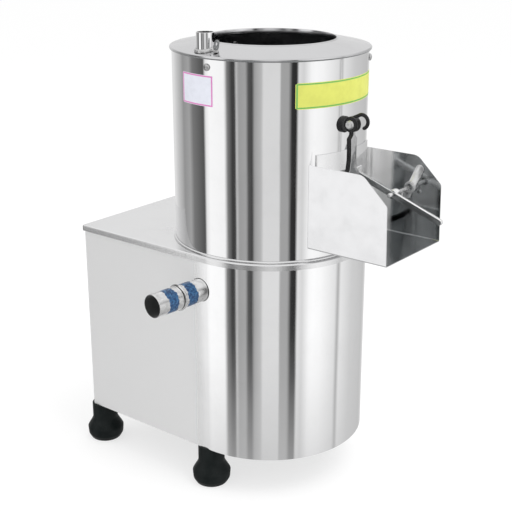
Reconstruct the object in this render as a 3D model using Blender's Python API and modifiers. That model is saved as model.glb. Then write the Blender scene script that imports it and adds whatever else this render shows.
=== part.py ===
"""Upright potato peeler: a lined drum on a round-ended base, with a discharge chute and a belt drive.

Metres, +Z up. The drum's axis is the design axis: the chute points along +X from it and the drain
leaves on the -Y side. Every sub-part hangs under one empty, which puts the middle of the machine's
footprint at the world origin, with the rubber feet standing on z = 0.
"""

from math import acos, cos, hypot, pi, radians, sin, sqrt, tan

import bmesh
import bpy

# General clearances and facet counts
GAP = 0.0003
OVERRUN = 0.004
WELD = 0.00001
LARGE_STEPS = 40
MEDIUM_STEPS = 16
SMALL_STEPS = 10
BORE_TURN = radians(7.0)

# Rubber feet and the bolts that hold them
FOOT_HEIGHT = 0.080
FOOT_RADIUS = 0.0375
FOOT_NECK_RADIUS = 0.026
FOOT_SOLE_RADIUS = 0.029
FOOT_NECK_SHARE = 0.62
FOOT_FLARE_SHARE = 0.36
FOOT_ROUND_SHARES = ((0.970, 0.17), (0.895, 0.05))
FOOT_REAR_INSET = 0.0105
FOOT_SIDE_INSET = 0.021
FOOT_FRONT_X = -0.014
FOOT_BOLT_RADIUS = 0.004
FOOT_BOLT_DEPTH = 0.034
FOOT_NUT_RADIUS = 0.0065
FOOT_NUT_HEIGHT = 0.0065
FOOT_BOLT_TAIL = 0.005

# Base: bottom frame, wrapped shell, rear panel and pressed top plate
BASE_RADIUS = 0.186
BASE_LENGTH = 0.3205
BASE_HEIGHT = 0.3925
BASE_WALL = 0.0015
END_STEPS = 24
SIDE_STEPS = 4
REAR_FLANGE = 0.022
FRAME_THICKNESS = 0.004
FRAME_WIDTH = 0.048
LIP_OVERHANG = 0.0036
LIP_HEIGHT = 0.0115
LIP_ROUND = 0.0034
LIP_ROUND_STEPS = 2
LIP_CORNER = 0.0005
LIP_CORNER_STEPS = 3
VENT_COUNT = 4
VENT_LENGTH = 0.110
VENT_WIDTH = 0.006
VENT_PITCH = 0.024
VENT_Y = 0.078
VENT_LOW_SHARE = 0.30
SLOT_END_STEPS = 2
PANEL_SCREW_RADIUS = 0.0045
PANEL_SCREW_HEAD = 0.0026
PANEL_SCREW_SHANK = 0.002
PANEL_SCREW_LENGTH = 0.010
PANEL_SCREW_END = 0.045

# Drum: outer shell, foot ring, abrasive liner and the conical top ring
DRUM_INSET = 0.0055
DRUM_WALL = 0.0015
RIM_HEIGHT = 0.3585
RIM_OVERHANG = 0.0044
RIM_BEAD = 0.0032
RIM_BEAD_STEPS = 3
CONE_RISE = 0.0173
HOLE_INSET = 0.0606
HOLE_LIP = 0.008
RING_WALL = 0.0015
SKIRT_DEPTH = 0.028
FOOT_RING_WIDTH = 0.0032
FOOT_RING_HEIGHT = 0.0035
LINER_WALL = 0.003
LINER_SIDE_GAP = 0.0005
RING_SCREW_DROP = 0.017
RING_SCREW_RADIUS = 0.0065
RING_SCREW_HEAD = 0.0042
RING_SCREW_SHANK = 0.0025
RING_SCREW_LENGTH = 0.009
RING_SCREW_COUNT = 3
RING_SCREW_FIRST = radians(-89.4)

# Water pan that hangs in the top plate, below the disc
PAN_INSET = 0.0125
PAN_WALL = 0.002
PAN_DEPTH = 0.100
PAN_FLANGE_GAP = 0.0006
PAN_NECK_BORE = 0.020
PAN_NECK_HEIGHT = 0.026
PAN_HOLE_GAP = 0.0050

# Drain: a stub on the pan, a beaded collar outside the base and a wider spout
DRAIN_ANGLE = radians(-95.5)
DRAIN_DROP = 0.067
DRAIN_RADIUS = 0.019
DRAIN_WALL = 0.002
DRAIN_LENGTH = 0.116
COLLAR_PLACE = 0.050
COLLAR_WIDTH = 0.010
COLLAR_STEP = 0.005
SPOUT_RADIUS = 0.0218
SHELL_HOLE_GAP = 0.0012

# Water inlet on the top ring, with its quarter-turn tap
INLET_ANGLE = radians(-97.3)
INLET_INSET = 0.0215
INLET_RADIUS = 0.016
INLET_WALL = 0.002
INLET_HEIGHT = 0.0375
INLET_TAIL = 0.012
INLET_HOLE_GAP = 0.0004
INLET_COLLAR_WIDTH = 0.0035
INLET_COLLAR_HEIGHT = 0.006
TAP_ANGLE = radians(-86.5)
TAP_INSET = 0.0145
TAP_BOSS_RADIUS = 0.0055
TAP_BOSS_HEIGHT = 0.009
TAP_NECK_RADIUS = 0.0030
TAP_NECK_HEIGHT = 0.004
TAP_WING_SPAN = 0.019
TAP_WING_HEIGHT = 0.011
TAP_WING_THICKNESS = 0.005
TAP_REST_TURN = radians(35.0)

# Discharge chute
CHUTE_RISE = 0.0233
CHUTE_HALF_WIDTH = 0.09185
CHUTE_LENGTH = 0.1381
CHUTE_HEIGHT = 0.1530
CHUTE_WALL = 0.0015
CHUTE_TOP_LENGTH = 0.0855
CHUTE_TOP_ROUND = 0.024
CHUTE_ROUND_STEPS = 6
CHUTE_SLOPE_DROP = 0.047
CHUTE_FRONT_LEAN = 0.0025
OUTLET_HALF_WIDTH = 0.0745
OUTLET_TOP_MARGIN = 0.010
OUTLET_SIDE_TAIL = 0.030

# Gate: curved plate, hanger, lever bar and sliding bolt
GATE_GAP = 0.0007
GATE_WALL = 0.0020
GATE_HALF_WIDTH = 0.082
GATE_FLOOR_GAP = 0.0062
GATE_TOP_RISE = 0.0165
GATE_STEPS = 16
HANGER_Y = -0.026
PIVOT_PLACE = 0.0195
PIVOT_RISE = 0.0672
HANGER_THICKNESS = 0.010
TONGUE_RADIUS = 0.0075
TONGUE_WIDTH = 0.0062
TONGUE_DROP = 0.0185
STRAP_TOP_WIDTH = 0.020
STRAP_WAIST_WIDTH = 0.0175
STRAP_FOOT_WIDTH = 0.024
HANGER_FOOT_WIDTH = 0.038
HANGER_FOOT_HEIGHT = 0.007
HANGER_FOOT_DROP = 0.0885
STRAP_FLARE_SHARE = 0.24
PAD_WALL = 0.003
BAR_Y = 0.026
BAR_TIP_PLACE = 0.1765
BAR_START_PLACE = 0.0055
BAR_START_DROP = 0.1030
BAR_SLOPE = radians(-19.5)
BAR_DEPTH = 0.011
BAR_WIDTH = 0.008
BAR_END_STEPS = 6
BAR_PAD_HEIGHT = 0.030
BAR_PAD_WIDTH = 0.026
BOLT_PLACE = 0.0750
BOLT_RADIUS = 0.0038
BOLT_BORE_GAP = 0.0004
BOLT_TIP_Y = 0.0820
BOLT_TAIL_Y = 0.012
BOLT_BOSS_RADIUS = 0.008
BOLT_BOSS_END_Y = 0.040
BOLT_PEG_Y = 0.058
BOLT_PEG_RADIUS = 0.0018
BOLT_PEG_LENGTH = 0.016
BOLT_KNOB_RADIUS = 0.0045

# Black bracket that carries the gate, with its curled finger
BOSS_RADIUS = 0.0140
BOSS_WIDTH = 0.014
SLOT_GAP = 0.0005
FLANGE_RADIUS = 0.0145
FLANGE_THICKNESS = 0.0072
FLANGE_DROP = 0.002
FINGER_RADIUS = 0.0033
FINGER_CURL = 0.0120
FINGER_CENTRE_X = 0.0195
FINGER_CENTRE_RISE = 0.0070
FINGER_START = radians(128.0)
FINGER_STOP = radians(-78.0)
FINGER_STEPS = 9
PIVOT_BOLT_RADIUS = 0.0040
PIVOT_BORE_GAP = 0.0004
PIVOT_HEAD_RADIUS = 0.0075
PIVOT_HEAD_HEIGHT = 0.005
PIVOT_HEAD_SIDES = 6

# Keeper on the far side of the chute
KEEPER_EYE_RADIUS = 0.0110
KEEPER_THICKNESS = 0.0062
KEEPER_PLATE_THICKNESS = 0.0028
KEEPER_WIDTH = 0.016
KEEPER_RUN = 0.0169
KEEPER_RISE = 0.0363
KEEPER_TAIL = 0.016
KEEPER_BORE_GAP = 0.0026

# Peeling disc, its shaft and bearings
DISC_INSET = 0.0105
DISC_THICKNESS = 0.008
DISC_RISE = 0.0085
DISC_WAVES = 3
DISC_WAVE_HEIGHT = 0.0045
DISC_CROWN = 0.007
DISC_RINGS = 4
HUB_RADIUS = 0.030
HUB_DEPTH = 0.016
BLADE_DEPTH = 0.024
BLADE_THICKNESS = 0.004
BLADE_START = 0.028
BLADE_INSET = 0.020
SHAFT_RADIUS = 0.0125
SHAFT_TOP_RADIUS = 0.009
SHAFT_BOTTOM = 0.112
SHAFT_FIT = 0.0004
DOME_NUT_RADIUS = 0.017
DOME_NUT_HEIGHT = 0.016
DOME_STEPS = 4
HOUSING_RADIUS = 0.034
HOUSING_FLANGE_RADIUS = 0.062
HOUSING_FLANGE = 0.009
HOUSING_LENGTH = 0.150
HOUSING_BORE = 0.019
BEARING_RADIUS = 0.0235
BEARING_HEIGHT = 0.012
SEAL_HEIGHT = 0.010

# Belt drive
PULLEY_HEIGHT = 0.130
PULLEY_STEPS = 24
PULLEY_WIDTH = 0.022
PULLEY_GROOVE_DEPTH = 0.012
PULLEY_GROOVE_WIDTH = 0.0105
PULLEY_GROOVE_MOUTH = 0.0155
PULLEY_WEB = 0.006
PULLEY_RIM = 0.018
PULLEY_HUB = 0.024
DRIVEN_RADIUS = 0.090
MOTOR_PULLEY_RADIUS = 0.036
BELT_WIDTH = 0.009
BELT_THICKNESS = 0.0085
BELT_SEAT_GAP = 0.0008
BELT_STEPS = 14

# Motor on its shelf
MOTOR_PLACE = 0.0945
MOTOR_RADIUS = 0.064
MOTOR_FIN_DEPTH = 0.005
MOTOR_FINS = 14
MOTOR_FIN_SHARE = 0.45
MOTOR_LENGTH = 0.135
SHIELD_RADIUS = 0.067
SHIELD_HEIGHT = 0.014
MOTOR_SHAFT_RADIUS = 0.0095
MOTOR_SHAFT_BOTTOM = 0.110
FAN_RADIUS = 0.050
FAN_HEIGHT = 0.010
FAN_BLADES = 6
FAN_BLADE_THICKNESS = 0.003
FAN_HUB_RADIUS = 0.018
FAN_COVER_WALL = 0.0015
FAN_COVER_HEIGHT = 0.026
FAN_COVER_HOLE = 0.030
FAN_SIDE_GAP = 0.004
SHELF_BOTTOM = 0.160
SHELF_THICKNESS = 0.005
SHELF_FLANGE = 0.030
SHELF_FRONT_PLACE = 0.096
SHELF_REAR_GAP = 0.002
SHELF_HOLE = 0.024
TERMINAL_SIZE = (0.062, 0.034, 0.064)
TERMINAL_RISE_SHARE = 0.55
TERMINAL_ROUND = 0.004

# Rear panel fittings
GLAND_INSET = 0.081
GLAND_Z = 0.130
GLAND_RADIUS = 0.008
GLAND_COLLAR = 0.0115
GLAND_OUTSIDE = 0.020
GLAND_INSIDE = 0.010
GLAND_FLANGE = 0.003
GLAND_BORE = 0.0045
SWITCH_INSET = 0.081
SWITCH_DROP = 0.0775
SWITCH_PLATE = 0.050
SWITCH_PLATE_THICKNESS = 0.003
SWITCH_BODY = 0.038
SWITCH_BODY_DEPTH = 0.030
SWITCH_BUSH = 0.0080
SWITCH_BUSH_HEIGHT = 0.003
KNOB_RADIUS = 0.016
KNOB_BASE = 0.005
KNOB_GRIP = 0.012
KNOB_GRIP_WIDTH = 0.008

# Radii and reaches that follow the base, so that what stands on it keeps its place there
DRUM_RADIUS = BASE_RADIUS - DRUM_INSET
RIM_RADIUS = DRUM_RADIUS + RIM_OVERHANG
HOLE_RADIUS = DRUM_RADIUS - HOLE_INSET
PAN_RADIUS = DRUM_RADIUS - PAN_INSET
DISC_RADIUS = DRUM_RADIUS - DISC_INSET
BLADE_END = DISC_RADIUS - BLADE_INSET
DRAIN_REACH = BASE_RADIUS + DRAIN_LENGTH
COLLAR_REACH = BASE_RADIUS + COLLAR_PLACE
INLET_PLACE = DRUM_RADIUS - INLET_INSET
TAP_PLACE = DRUM_RADIUS - TAP_INSET
CHUTE_REACH = DRUM_RADIUS + CHUTE_LENGTH
CHUTE_TOP_REACH = DRUM_RADIUS + CHUTE_TOP_LENGTH
PIVOT_X = DRUM_RADIUS + PIVOT_PLACE
BAR_START_X = DRUM_RADIUS + BAR_START_PLACE
BAR_TIP_X = DRUM_RADIUS + BAR_TIP_PLACE
BOLT_X = DRUM_RADIUS + BOLT_PLACE

# Levels and places worked out from the sizes above
BASE_TOP = FOOT_HEIGHT + BASE_HEIGHT
SHELL_TOP = BASE_TOP - BASE_WALL - GAP
FRAME_TOP = FOOT_HEIGHT + FRAME_THICKNESS
REAR_X = -BASE_LENGTH
PANEL_X = REAR_X + BASE_WALL + GAP
MOTOR_X = REAR_X + MOTOR_PLACE
SHELF_FRONT_X = MOTOR_X + SHELF_FRONT_PLACE
GLAND_Y = GLAND_INSET - BASE_RADIUS
SWITCH_Y = BASE_RADIUS - SWITCH_INSET
SWITCH_Z = BASE_TOP - SWITCH_DROP
RIM_Z = BASE_TOP + RIM_HEIGHT
DRUM_TOP = RIM_Z - RIM_BEAD - GAP
PAN_TOP = BASE_TOP + GAP + PAN_WALL
PAN_BOTTOM = BASE_TOP - PAN_DEPTH
PAN_HOLE = PAN_RADIUS + PAN_HOLE_GAP
DRAIN_Z = BASE_TOP - DRAIN_DROP
CHUTE_FLOOR = BASE_TOP + CHUTE_RISE
CHUTE_TOP = CHUTE_FLOOR + CHUTE_HEIGHT
CHUTE_INSIDE = CHUTE_FLOOR + CHUTE_WALL
CHUTE_INNER_HALF = CHUTE_HALF_WIDTH - CHUTE_WALL
GATE_INNER = DRUM_RADIUS + GATE_GAP
GATE_OUTER = GATE_INNER + GATE_WALL
GATE_BOTTOM = CHUTE_INSIDE + GATE_FLOOR_GAP
GATE_TOP = CHUTE_TOP + GATE_TOP_RISE
PIVOT_Z = CHUTE_TOP + PIVOT_RISE
BAR_START_Z = PIVOT_Z - BAR_START_DROP
BOLT_Z = BAR_START_Z + (BOLT_X - BAR_START_X) * tan(BAR_SLOPE)
KEEPER_FACE = CHUTE_INNER_HALF - GAP
DISC_TOP = CHUTE_FLOOR - DISC_RISE
DISC_BOTTOM = DISC_TOP - DISC_THICKNESS
HUB_BOTTOM = DISC_BOTTOM - HUB_DEPTH
HOUSING_TOP = PAN_BOTTOM - GAP
HOUSING_BOTTOM = HOUSING_TOP - HOUSING_LENGTH
SHELF_TOP = SHELF_BOTTOM + SHELF_THICKNESS
MOTOR_BOTTOM = SHELF_TOP + GAP
MOTOR_TOP = MOTOR_BOTTOM + 2 * SHIELD_HEIGHT + MOTOR_LENGTH
FOOT_Y = BASE_RADIUS - FOOT_SIDE_INSET
FOOT_REAR_X = REAR_X + FOOT_REAR_INSET

# Middle of the footprint, from the pieces that reach furthest each way
REACH_FRONT = BAR_TIP_X
REACH_REAR = FOOT_REAR_X - FOOT_RADIUS
REACH_FAR = FOOT_Y + FOOT_RADIUS
REACH_NEAR = DRAIN_REACH * sin(DRAIN_ANGLE) + SPOUT_RADIUS * cos(DRAIN_ANGLE)
CENTRE_X = (REACH_FRONT + REACH_REAR) / 2
CENTRE_Y = (REACH_FAR + REACH_NEAR) / 2


class Scene:
    """The collections and the root empty that every sub-part goes under."""

    def __init__(self):
        for obj in list(bpy.data.objects):
            bpy.data.objects.remove(obj, do_unlink=True)
        self.parts = self.collection("potato_peeler")
        self.cutters = self.collection("cutters")
        self.root = bpy.data.objects.new("footprint_centre", None)
        self.parts.objects.link(self.root)
        self.root.location = (-CENTRE_X, -CENTRE_Y, 0)

    def collection(self, name):
        made = bpy.data.collections.new(name)
        bpy.context.scene.collection.children.link(made)
        return made


scene = Scene()
materials = {}


def look(name, colour, roughness, metallic):
    """One Principled material, made once for each name."""
    if name not in materials:
        made = bpy.data.materials.new(name)
        made.use_nodes = True
        shader = made.node_tree.nodes["Principled BSDF"]
        shader.inputs["Base Color"].default_value = (*colour, 1.0)
        shader.inputs["Roughness"].default_value = roughness
        shader.inputs["Metallic"].default_value = metallic
        materials[name] = made
    return materials[name]


def polished(name):
    return look(f"{name}_polished_steel", (0.78, 0.78, 0.79), 0.10, 1.0)


def satin(name):
    return look(f"{name}_satin_steel", (0.72, 0.72, 0.73), 0.32, 1.0)


def black_rubber(name):
    return look(f"{name}_black_rubber", (0.02, 0.022, 0.024), 0.55, 0.0)


def black_iron(name):
    return look(f"{name}_black_iron", (0.015, 0.015, 0.016), 0.35, 0.2)


def abrasive(name):
    return look(f"{name}_black_abrasive", (0.012, 0.013, 0.015), 0.85, 0.0)


def painted(name):
    return look(f"{name}_grey_paint", (0.22, 0.25, 0.28), 0.45, 0.0)


def machined(name):
    return look(f"{name}_machined_steel", (0.60, 0.60, 0.60), 0.28, 1.0)


def plastic(name):
    return look(f"{name}_dark_plastic", (0.03, 0.03, 0.03), 0.40, 0.0)


def add(name, mesh, material, location=(0, 0, 0), rotation=(0, 0, 0)):
    """Puts a mesh or curve under the root, as a sub-part, or as a cutter where it has no material."""
    obj = bpy.data.objects.new(name, mesh)
    if material is None:
        scene.cutters.objects.link(obj)
        obj.hide_render = True
        obj.display_type = "WIRE"
    else:
        scene.parts.objects.link(obj)
        mesh.materials.append(material)
    obj.parent = scene.root
    obj.location = location
    obj.rotation_euler = rotation
    return obj


def arc(centre, radius, start, stop, steps):
    """Points of a flat arc, both ends included."""
    turns = [start + (stop - start) * step / steps for step in range(steps + 1)]
    return [(centre[0] + radius * cos(turn), centre[1] + radius * sin(turn)) for turn in turns]


def turned(name, profile, material, location=(0, 0, 0), rotation=(0, 0, 0), steps=MEDIUM_STEPS,
           ring=False):
    """A solid of revolution from (radius, height) points that run down its outer side."""
    mesh = bpy.data.meshes.new(name)
    count = len(profile)
    edges = [(point, point + 1) for point in range(count - 1)]
    if ring:
        edges.append((count - 1, 0))
    mesh.from_pydata([(radius, 0, height) for radius, height in profile], edges, [])
    obj = add(name, mesh, material, location, rotation)
    screw = obj.modifiers.new("Turn", "SCREW")
    screw.steps = steps
    screw.render_steps = steps
    screw.use_merge_vertices = True
    screw.merge_threshold = WELD
    screw.use_smooth_shade = True
    return obj


def pipe_profile(radius, wall, bottom, top):
    """The closed section of a straight tube."""
    return [(radius, top), (radius, bottom), (radius - wall, bottom), (radius - wall, top)]


def rod_profile(radius, bottom, top):
    """The open section of a plain round bar."""
    return [(0, top), (radius, top), (radius, bottom), (0, bottom)]


def as_mesh(obj, material):
    """Replaces a curve object by its mesh, with the caps welded on."""
    graph = bpy.context.evaluated_depsgraph_get()
    mesh = bpy.data.meshes.new_from_object(obj.evaluated_get(graph))
    shape = bmesh.new()
    shape.from_mesh(mesh)
    bmesh.ops.remove_doubles(shape, verts=shape.verts, dist=WELD)
    shape.to_mesh(mesh)
    shape.free()
    mesh.materials.clear()
    name = obj.name
    location = obj.location.copy()
    rotation = obj.rotation_euler.copy()
    bpy.data.objects.remove(obj, do_unlink=True)
    return add(name, mesh, material, location, rotation)


def flat(name, outlines, thickness, material, location=(0, 0, 0), rotation=(0, 0, 0)):
    """A plate from closed outlines, the first the edge and the rest its holes, centred on its plane."""
    curve = bpy.data.curves.new(name, "CURVE")
    curve.dimensions = "2D"
    curve.fill_mode = "BOTH"
    curve.extrude = thickness / 2
    for outline in outlines:
        spline = curve.splines.new("POLY")
        spline.points.add(len(outline) - 1)
        for point, (x, y) in zip(spline.points, outline):
            point.co = (x, y, 0, 1)
        spline.use_cyclic_u = True
    obj = add(name, curve, None, location, rotation)
    return as_mesh(obj, material)


def tube(name, route, radius, material, location=(0, 0, 0)):
    """A round bar along a route of points, with flat caps."""
    curve = bpy.data.curves.new(name, "CURVE")
    curve.dimensions = "3D"
    curve.bevel_depth = radius
    curve.bevel_resolution = 1
    curve.use_fill_caps = True
    curve.render_resolution_u = 0
    spline = curve.splines.new("POLY")
    spline.points.add(len(route) - 1)
    for point, place in zip(spline.points, route):
        point.co = (*place, 1)
    obj = add(name, curve, None, location)
    return as_mesh(obj, material)


def block(name, low, high, material, rotation=(0, 0, 0), location=(0, 0, 0)):
    """A box between two corners, given from its object's own origin."""
    mesh = bpy.data.meshes.new(name)
    shape = bmesh.new()
    bmesh.ops.create_cube(shape, size=1.0)
    for vert in shape.verts:
        for axis in range(3):
            vert.co[axis] = low[axis] if vert.co[axis] < 0 else high[axis]
    shape.to_mesh(mesh)
    shape.free()
    return add(name, mesh, material, location, rotation)


def skin(name, sections, wall, material, cyclic=True):
    """A sheet through matching sections of points, thickened inwards by its wall."""
    mesh = bpy.data.meshes.new(name)
    count = len(sections[0])
    points = [place for section in sections for place in section]
    faces = []
    for row in range(len(sections) - 1):
        for here in range(count if cyclic else count - 1):
            there = (here + 1) % count
            low = row * count
            high = low + count
            faces.append((low + here, low + there, high + there, high + here))
    mesh.from_pydata(points, [], faces)
    obj = add(name, mesh, material)
    solidify = obj.modifiers.new("Wall", "SOLIDIFY")
    solidify.thickness = wall
    solidify.offset = -1
    solidify.use_even_offset = True
    return obj


def combine(obj, other, operation):
    """A Boolean with another object, which becomes a hidden operand."""
    change = obj.modifiers.new(operation.title(), "BOOLEAN")
    change.operation = operation
    change.solver = "EXACT"
    change.object = other


def cut(obj, *cutters):
    for cutter in cutters:
        combine(obj, cutter, "DIFFERENCE")


def join(obj, *others):
    for other in others:
        combine(obj, other, "UNION")


def standing(turn=0.0):
    """Rotation that lays a turned piece's axis along +X, then swings it about Z."""
    return (0, pi / 2, turn)


def at_angle(place, angle, height):
    """A point at a distance from the drum's axis."""
    return (place * cos(angle), place * sin(angle), height)


ALONG_Y = (-pi / 2, 0, 0)
BORE_ALONG_Y = (-pi / 2, BORE_TURN, 0)
IN_XZ = (pi / 2, 0, 0)
IN_YZ = (pi / 2, 0, pi / 2)


def foot_places():
    """Axes of the four feet, near side first, rear to front."""
    return [(x, y) for y in (-FOOT_Y, FOOT_Y) for x in (FOOT_REAR_X, FOOT_FRONT_X)]


def make_feet():
    top = FOOT_HEIGHT - GAP
    bore = FOOT_BOLT_RADIUS + GAP
    profile = [
        (0, top - FOOT_BOLT_DEPTH),
        (bore, top - FOOT_BOLT_DEPTH),
        (bore, top),
        (FOOT_NECK_RADIUS, top),
        (FOOT_NECK_RADIUS, FOOT_HEIGHT * FOOT_NECK_SHARE),
        (FOOT_RADIUS, FOOT_HEIGHT * FOOT_FLARE_SHARE),
        *[(FOOT_RADIUS * out, FOOT_HEIGHT * up) for out, up in FOOT_ROUND_SHARES],
        (FOOT_SOLE_RADIUS, 0),
        (0, 0),
    ]
    for number, (x, y) in enumerate(foot_places(), 1):
        turned(f"rubber_foot_{number}", profile, black_rubber("foot"), (x, y, 0))


def make_foot_bolts():
    nut = FRAME_TOP + GAP
    bottom = FOOT_HEIGHT - FOOT_BOLT_DEPTH
    profile = [
        (0, nut + FOOT_NUT_HEIGHT + FOOT_BOLT_TAIL),
        (FOOT_BOLT_RADIUS, nut + FOOT_NUT_HEIGHT + FOOT_BOLT_TAIL),
        (FOOT_BOLT_RADIUS, nut + FOOT_NUT_HEIGHT),
        (FOOT_NUT_RADIUS, nut + FOOT_NUT_HEIGHT),
        (FOOT_NUT_RADIUS, nut),
        (FOOT_BOLT_RADIUS, nut),
        (FOOT_BOLT_RADIUS, bottom),
        (0, bottom),
    ]
    for number, (x, y) in enumerate(foot_places(), 1):
        turned(f"foot_bolt_{number}", profile, machined("foot_bolt"), (x, y, 0), steps=SMALL_STEPS)


def base_outline(inset):
    """The base's plan, round at the front, drawn in from its outside by an inset."""
    radius = BASE_RADIUS - inset
    rear = REAR_X + inset
    front = arc((0, 0), radius, -pi / 2, pi / 2, END_STEPS)
    return [(rear, -radius), *front, (rear, radius)]


def make_base_frame():
    outline = base_outline(BASE_WALL + GAP)
    opening = base_outline(BASE_WALL + FRAME_WIDTH)
    middle = FOOT_HEIGHT + FRAME_THICKNESS / 2
    frame = flat("base_frame", [outline, opening], FRAME_THICKNESS, painted("frame"), (0, 0, middle))
    for x, y in foot_places():
        cut(frame, turned("foot_bolt_hole", rod_profile(FOOT_BOLT_RADIUS + GAP, -OVERRUN, OVERRUN), None,
                          (x, y, middle), steps=SMALL_STEPS))


def panel_screw_places():
    """Y and Z of the four screws of the rear panel."""
    side = BASE_RADIUS - REAR_FLANGE / 2
    levels = (FRAME_TOP + PANEL_SCREW_END, SHELL_TOP - PANEL_SCREW_END)
    return [(y, z) for y in (-side, side) for z in levels]


def panel_screw_holes():
    hole = rod_profile(PANEL_SCREW_SHANK + GAP, -PANEL_SCREW_LENGTH, PANEL_SCREW_LENGTH)
    return [turned("panel_screw_hole", hole, None, (REAR_X, y, z), standing(), SMALL_STEPS)
            for y, z in panel_screw_places()]


def drain_cutter(radius, start, stop):
    """A round cutter along the drain, from one distance to another from the drum's axis."""
    return turned("drain_hole", rod_profile(radius, start, stop), None, (0, 0, DRAIN_Z),
                  standing(DRAIN_ANGLE))


def make_base_shell(screw_holes):
    outline = base_outline(0)
    flange = BASE_RADIUS - REAR_FLANGE
    outline = [(REAR_X, -flange), *outline, (REAR_X, flange)]
    sections = [[(x, y, z) for x, y in outline] for z in (FOOT_HEIGHT, SHELL_TOP)]
    shell = skin("base_shell", sections, BASE_WALL, satin("base_shell"), cyclic=False)
    drain_hole = drain_cutter(DRAIN_RADIUS + SHELL_HOLE_GAP, PAN_RADIUS + PAN_HOLE_GAP,
                              BASE_RADIUS + FOOT_SIDE_INSET)
    cut(shell, drain_hole, *screw_holes)


def slot_outline(centre, length, width):
    """A flat slot with round ends, long in its first direction."""
    half = length / 2 - width / 2
    right = arc((centre[0] + half, centre[1]), width / 2, -pi / 2, pi / 2, SLOT_END_STEPS)
    left = arc((centre[0] - half, centre[1]), width / 2, pi / 2, 3 * pi / 2, SLOT_END_STEPS)
    return right + left


def make_rear_panel(screw_holes):
    half = BASE_RADIUS - BASE_WALL - GAP
    low = FRAME_TOP + GAP
    edge = [(-half, low), (half, low), (half, SHELL_TOP), (-half, SHELL_TOP)]
    first = FRAME_TOP + (SHELL_TOP - FRAME_TOP) * VENT_LOW_SHARE
    vents = [slot_outline((side * VENT_Y, first + row * VENT_PITCH), VENT_LENGTH, VENT_WIDTH)
             for side in (-1, 1) for row in range(VENT_COUNT)]
    middle = PANEL_X + BASE_WALL / 2
    panel = flat("rear_panel", [edge], BASE_WALL, satin("rear_panel"), (middle, 0, 0), IN_YZ)
    slots = flat("vent_slots", vents, 2 * OVERRUN, None, (middle, 0, 0), IN_YZ)
    gland = turned("gland_hole", rod_profile(GLAND_RADIUS + GAP, -OVERRUN, OVERRUN), None,
                   (middle, GLAND_Y, GLAND_Z), standing(), SMALL_STEPS)
    half_body = SWITCH_BODY / 2 + GAP
    switch = block("switch_hole", (-OVERRUN, -half_body, -half_body), (OVERRUN, half_body, half_body),
                   None, location=(middle, SWITCH_Y, SWITCH_Z))
    cut(panel, slots, gland, switch, *screw_holes)


def make_panel_screws():
    profile = [
        (0, PANEL_SCREW_HEAD + GAP),
        (PANEL_SCREW_RADIUS / 2, PANEL_SCREW_HEAD + GAP),
        (PANEL_SCREW_RADIUS, GAP),
        (PANEL_SCREW_SHANK, GAP),
        (PANEL_SCREW_SHANK, -PANEL_SCREW_LENGTH),
        (0, -PANEL_SCREW_LENGTH),
    ]
    for number, (y, z) in enumerate(panel_screw_places(), 1):
        turned(f"panel_screw_{number}", profile, machined("panel_screw"), (REAR_X, y, z),
               standing(pi), SMALL_STEPS)


def lid_outline(inset):
    """The top plate's plan with evenly set points and rounded rear corners."""
    radius = BASE_RADIUS - inset
    rear = REAR_X + inset
    corner = LIP_CORNER - inset
    near_corner = arc((rear + corner, corner - radius), corner, -pi, -pi / 2, LIP_CORNER_STEPS)
    far_corner = arc((rear + corner, radius - corner), corner, pi / 2, pi, LIP_CORNER_STEPS)
    side = [(rear + corner) * (1 - step / SIDE_STEPS) for step in range(1, SIDE_STEPS)]
    back = [(radius - corner) * (1 - 2 * step / SIDE_STEPS) for step in range(1, SIDE_STEPS)]
    return [
        *near_corner,
        *[(x, -radius) for x in side],
        *arc((0, 0), radius, -pi / 2, pi / 2, END_STEPS),
        *[(x, radius) for x in reversed(side)],
        *far_corner,
        *[(rear, y) for y in back],
    ]


def make_top_plate():
    sections = [[(x, y, BASE_TOP - LIP_HEIGHT) for x, y in lid_outline(-LIP_OVERHANG)]]
    for step in range(LIP_ROUND_STEPS + 1):
        turn = pi / 2 * step / LIP_ROUND_STEPS
        inset = LIP_ROUND * (1 - cos(turn)) - LIP_OVERHANG
        height = BASE_TOP - LIP_ROUND * (1 - sin(turn))
        sections.append([(x, y, height) for x, y in lid_outline(inset)])
    rim = lid_outline(LIP_ROUND - LIP_OVERHANG)
    hole = [(x * PAN_HOLE / hypot(x, y), y * PAN_HOLE / hypot(x, y), BASE_TOP) for x, y in rim]
    sections.append(hole)
    skin("base_top_plate", sections, BASE_WALL, satin("base_top_plate"))


def outlet_cutter():
    """The box that opens the drum into the chute."""
    low = (DRUM_RADIUS - GATE_HALF_WIDTH, -OUTLET_HALF_WIDTH, CHUTE_INSIDE)
    high = (DRUM_RADIUS + OUTLET_SIDE_TAIL, OUTLET_HALF_WIDTH, CHUTE_TOP - OUTLET_TOP_MARGIN)
    return block("outlet", low, high, None)


def ring_screw_angles():
    return [RING_SCREW_FIRST + 2 * pi * screw / RING_SCREW_COUNT for screw in range(RING_SCREW_COUNT)]


def ring_screw_holes():
    start = DRUM_RADIUS - RING_SCREW_LENGTH
    hole = rod_profile(RING_SCREW_SHANK + GAP, start, DRUM_RADIUS + OVERRUN)
    return [turned("ring_screw_hole", hole, None, (0, 0, RIM_Z - RING_SCREW_DROP), standing(angle),
                   SMALL_STEPS) for angle in ring_screw_angles()]


def make_drum_shell(outlet, screw_holes):
    profile = pipe_profile(DRUM_RADIUS, DRUM_WALL, BASE_TOP + GAP, DRUM_TOP)
    shell = turned("drum_shell", profile, polished("drum_shell"), steps=LARGE_STEPS, ring=True)
    cut(shell, outlet, *screw_holes)


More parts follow.
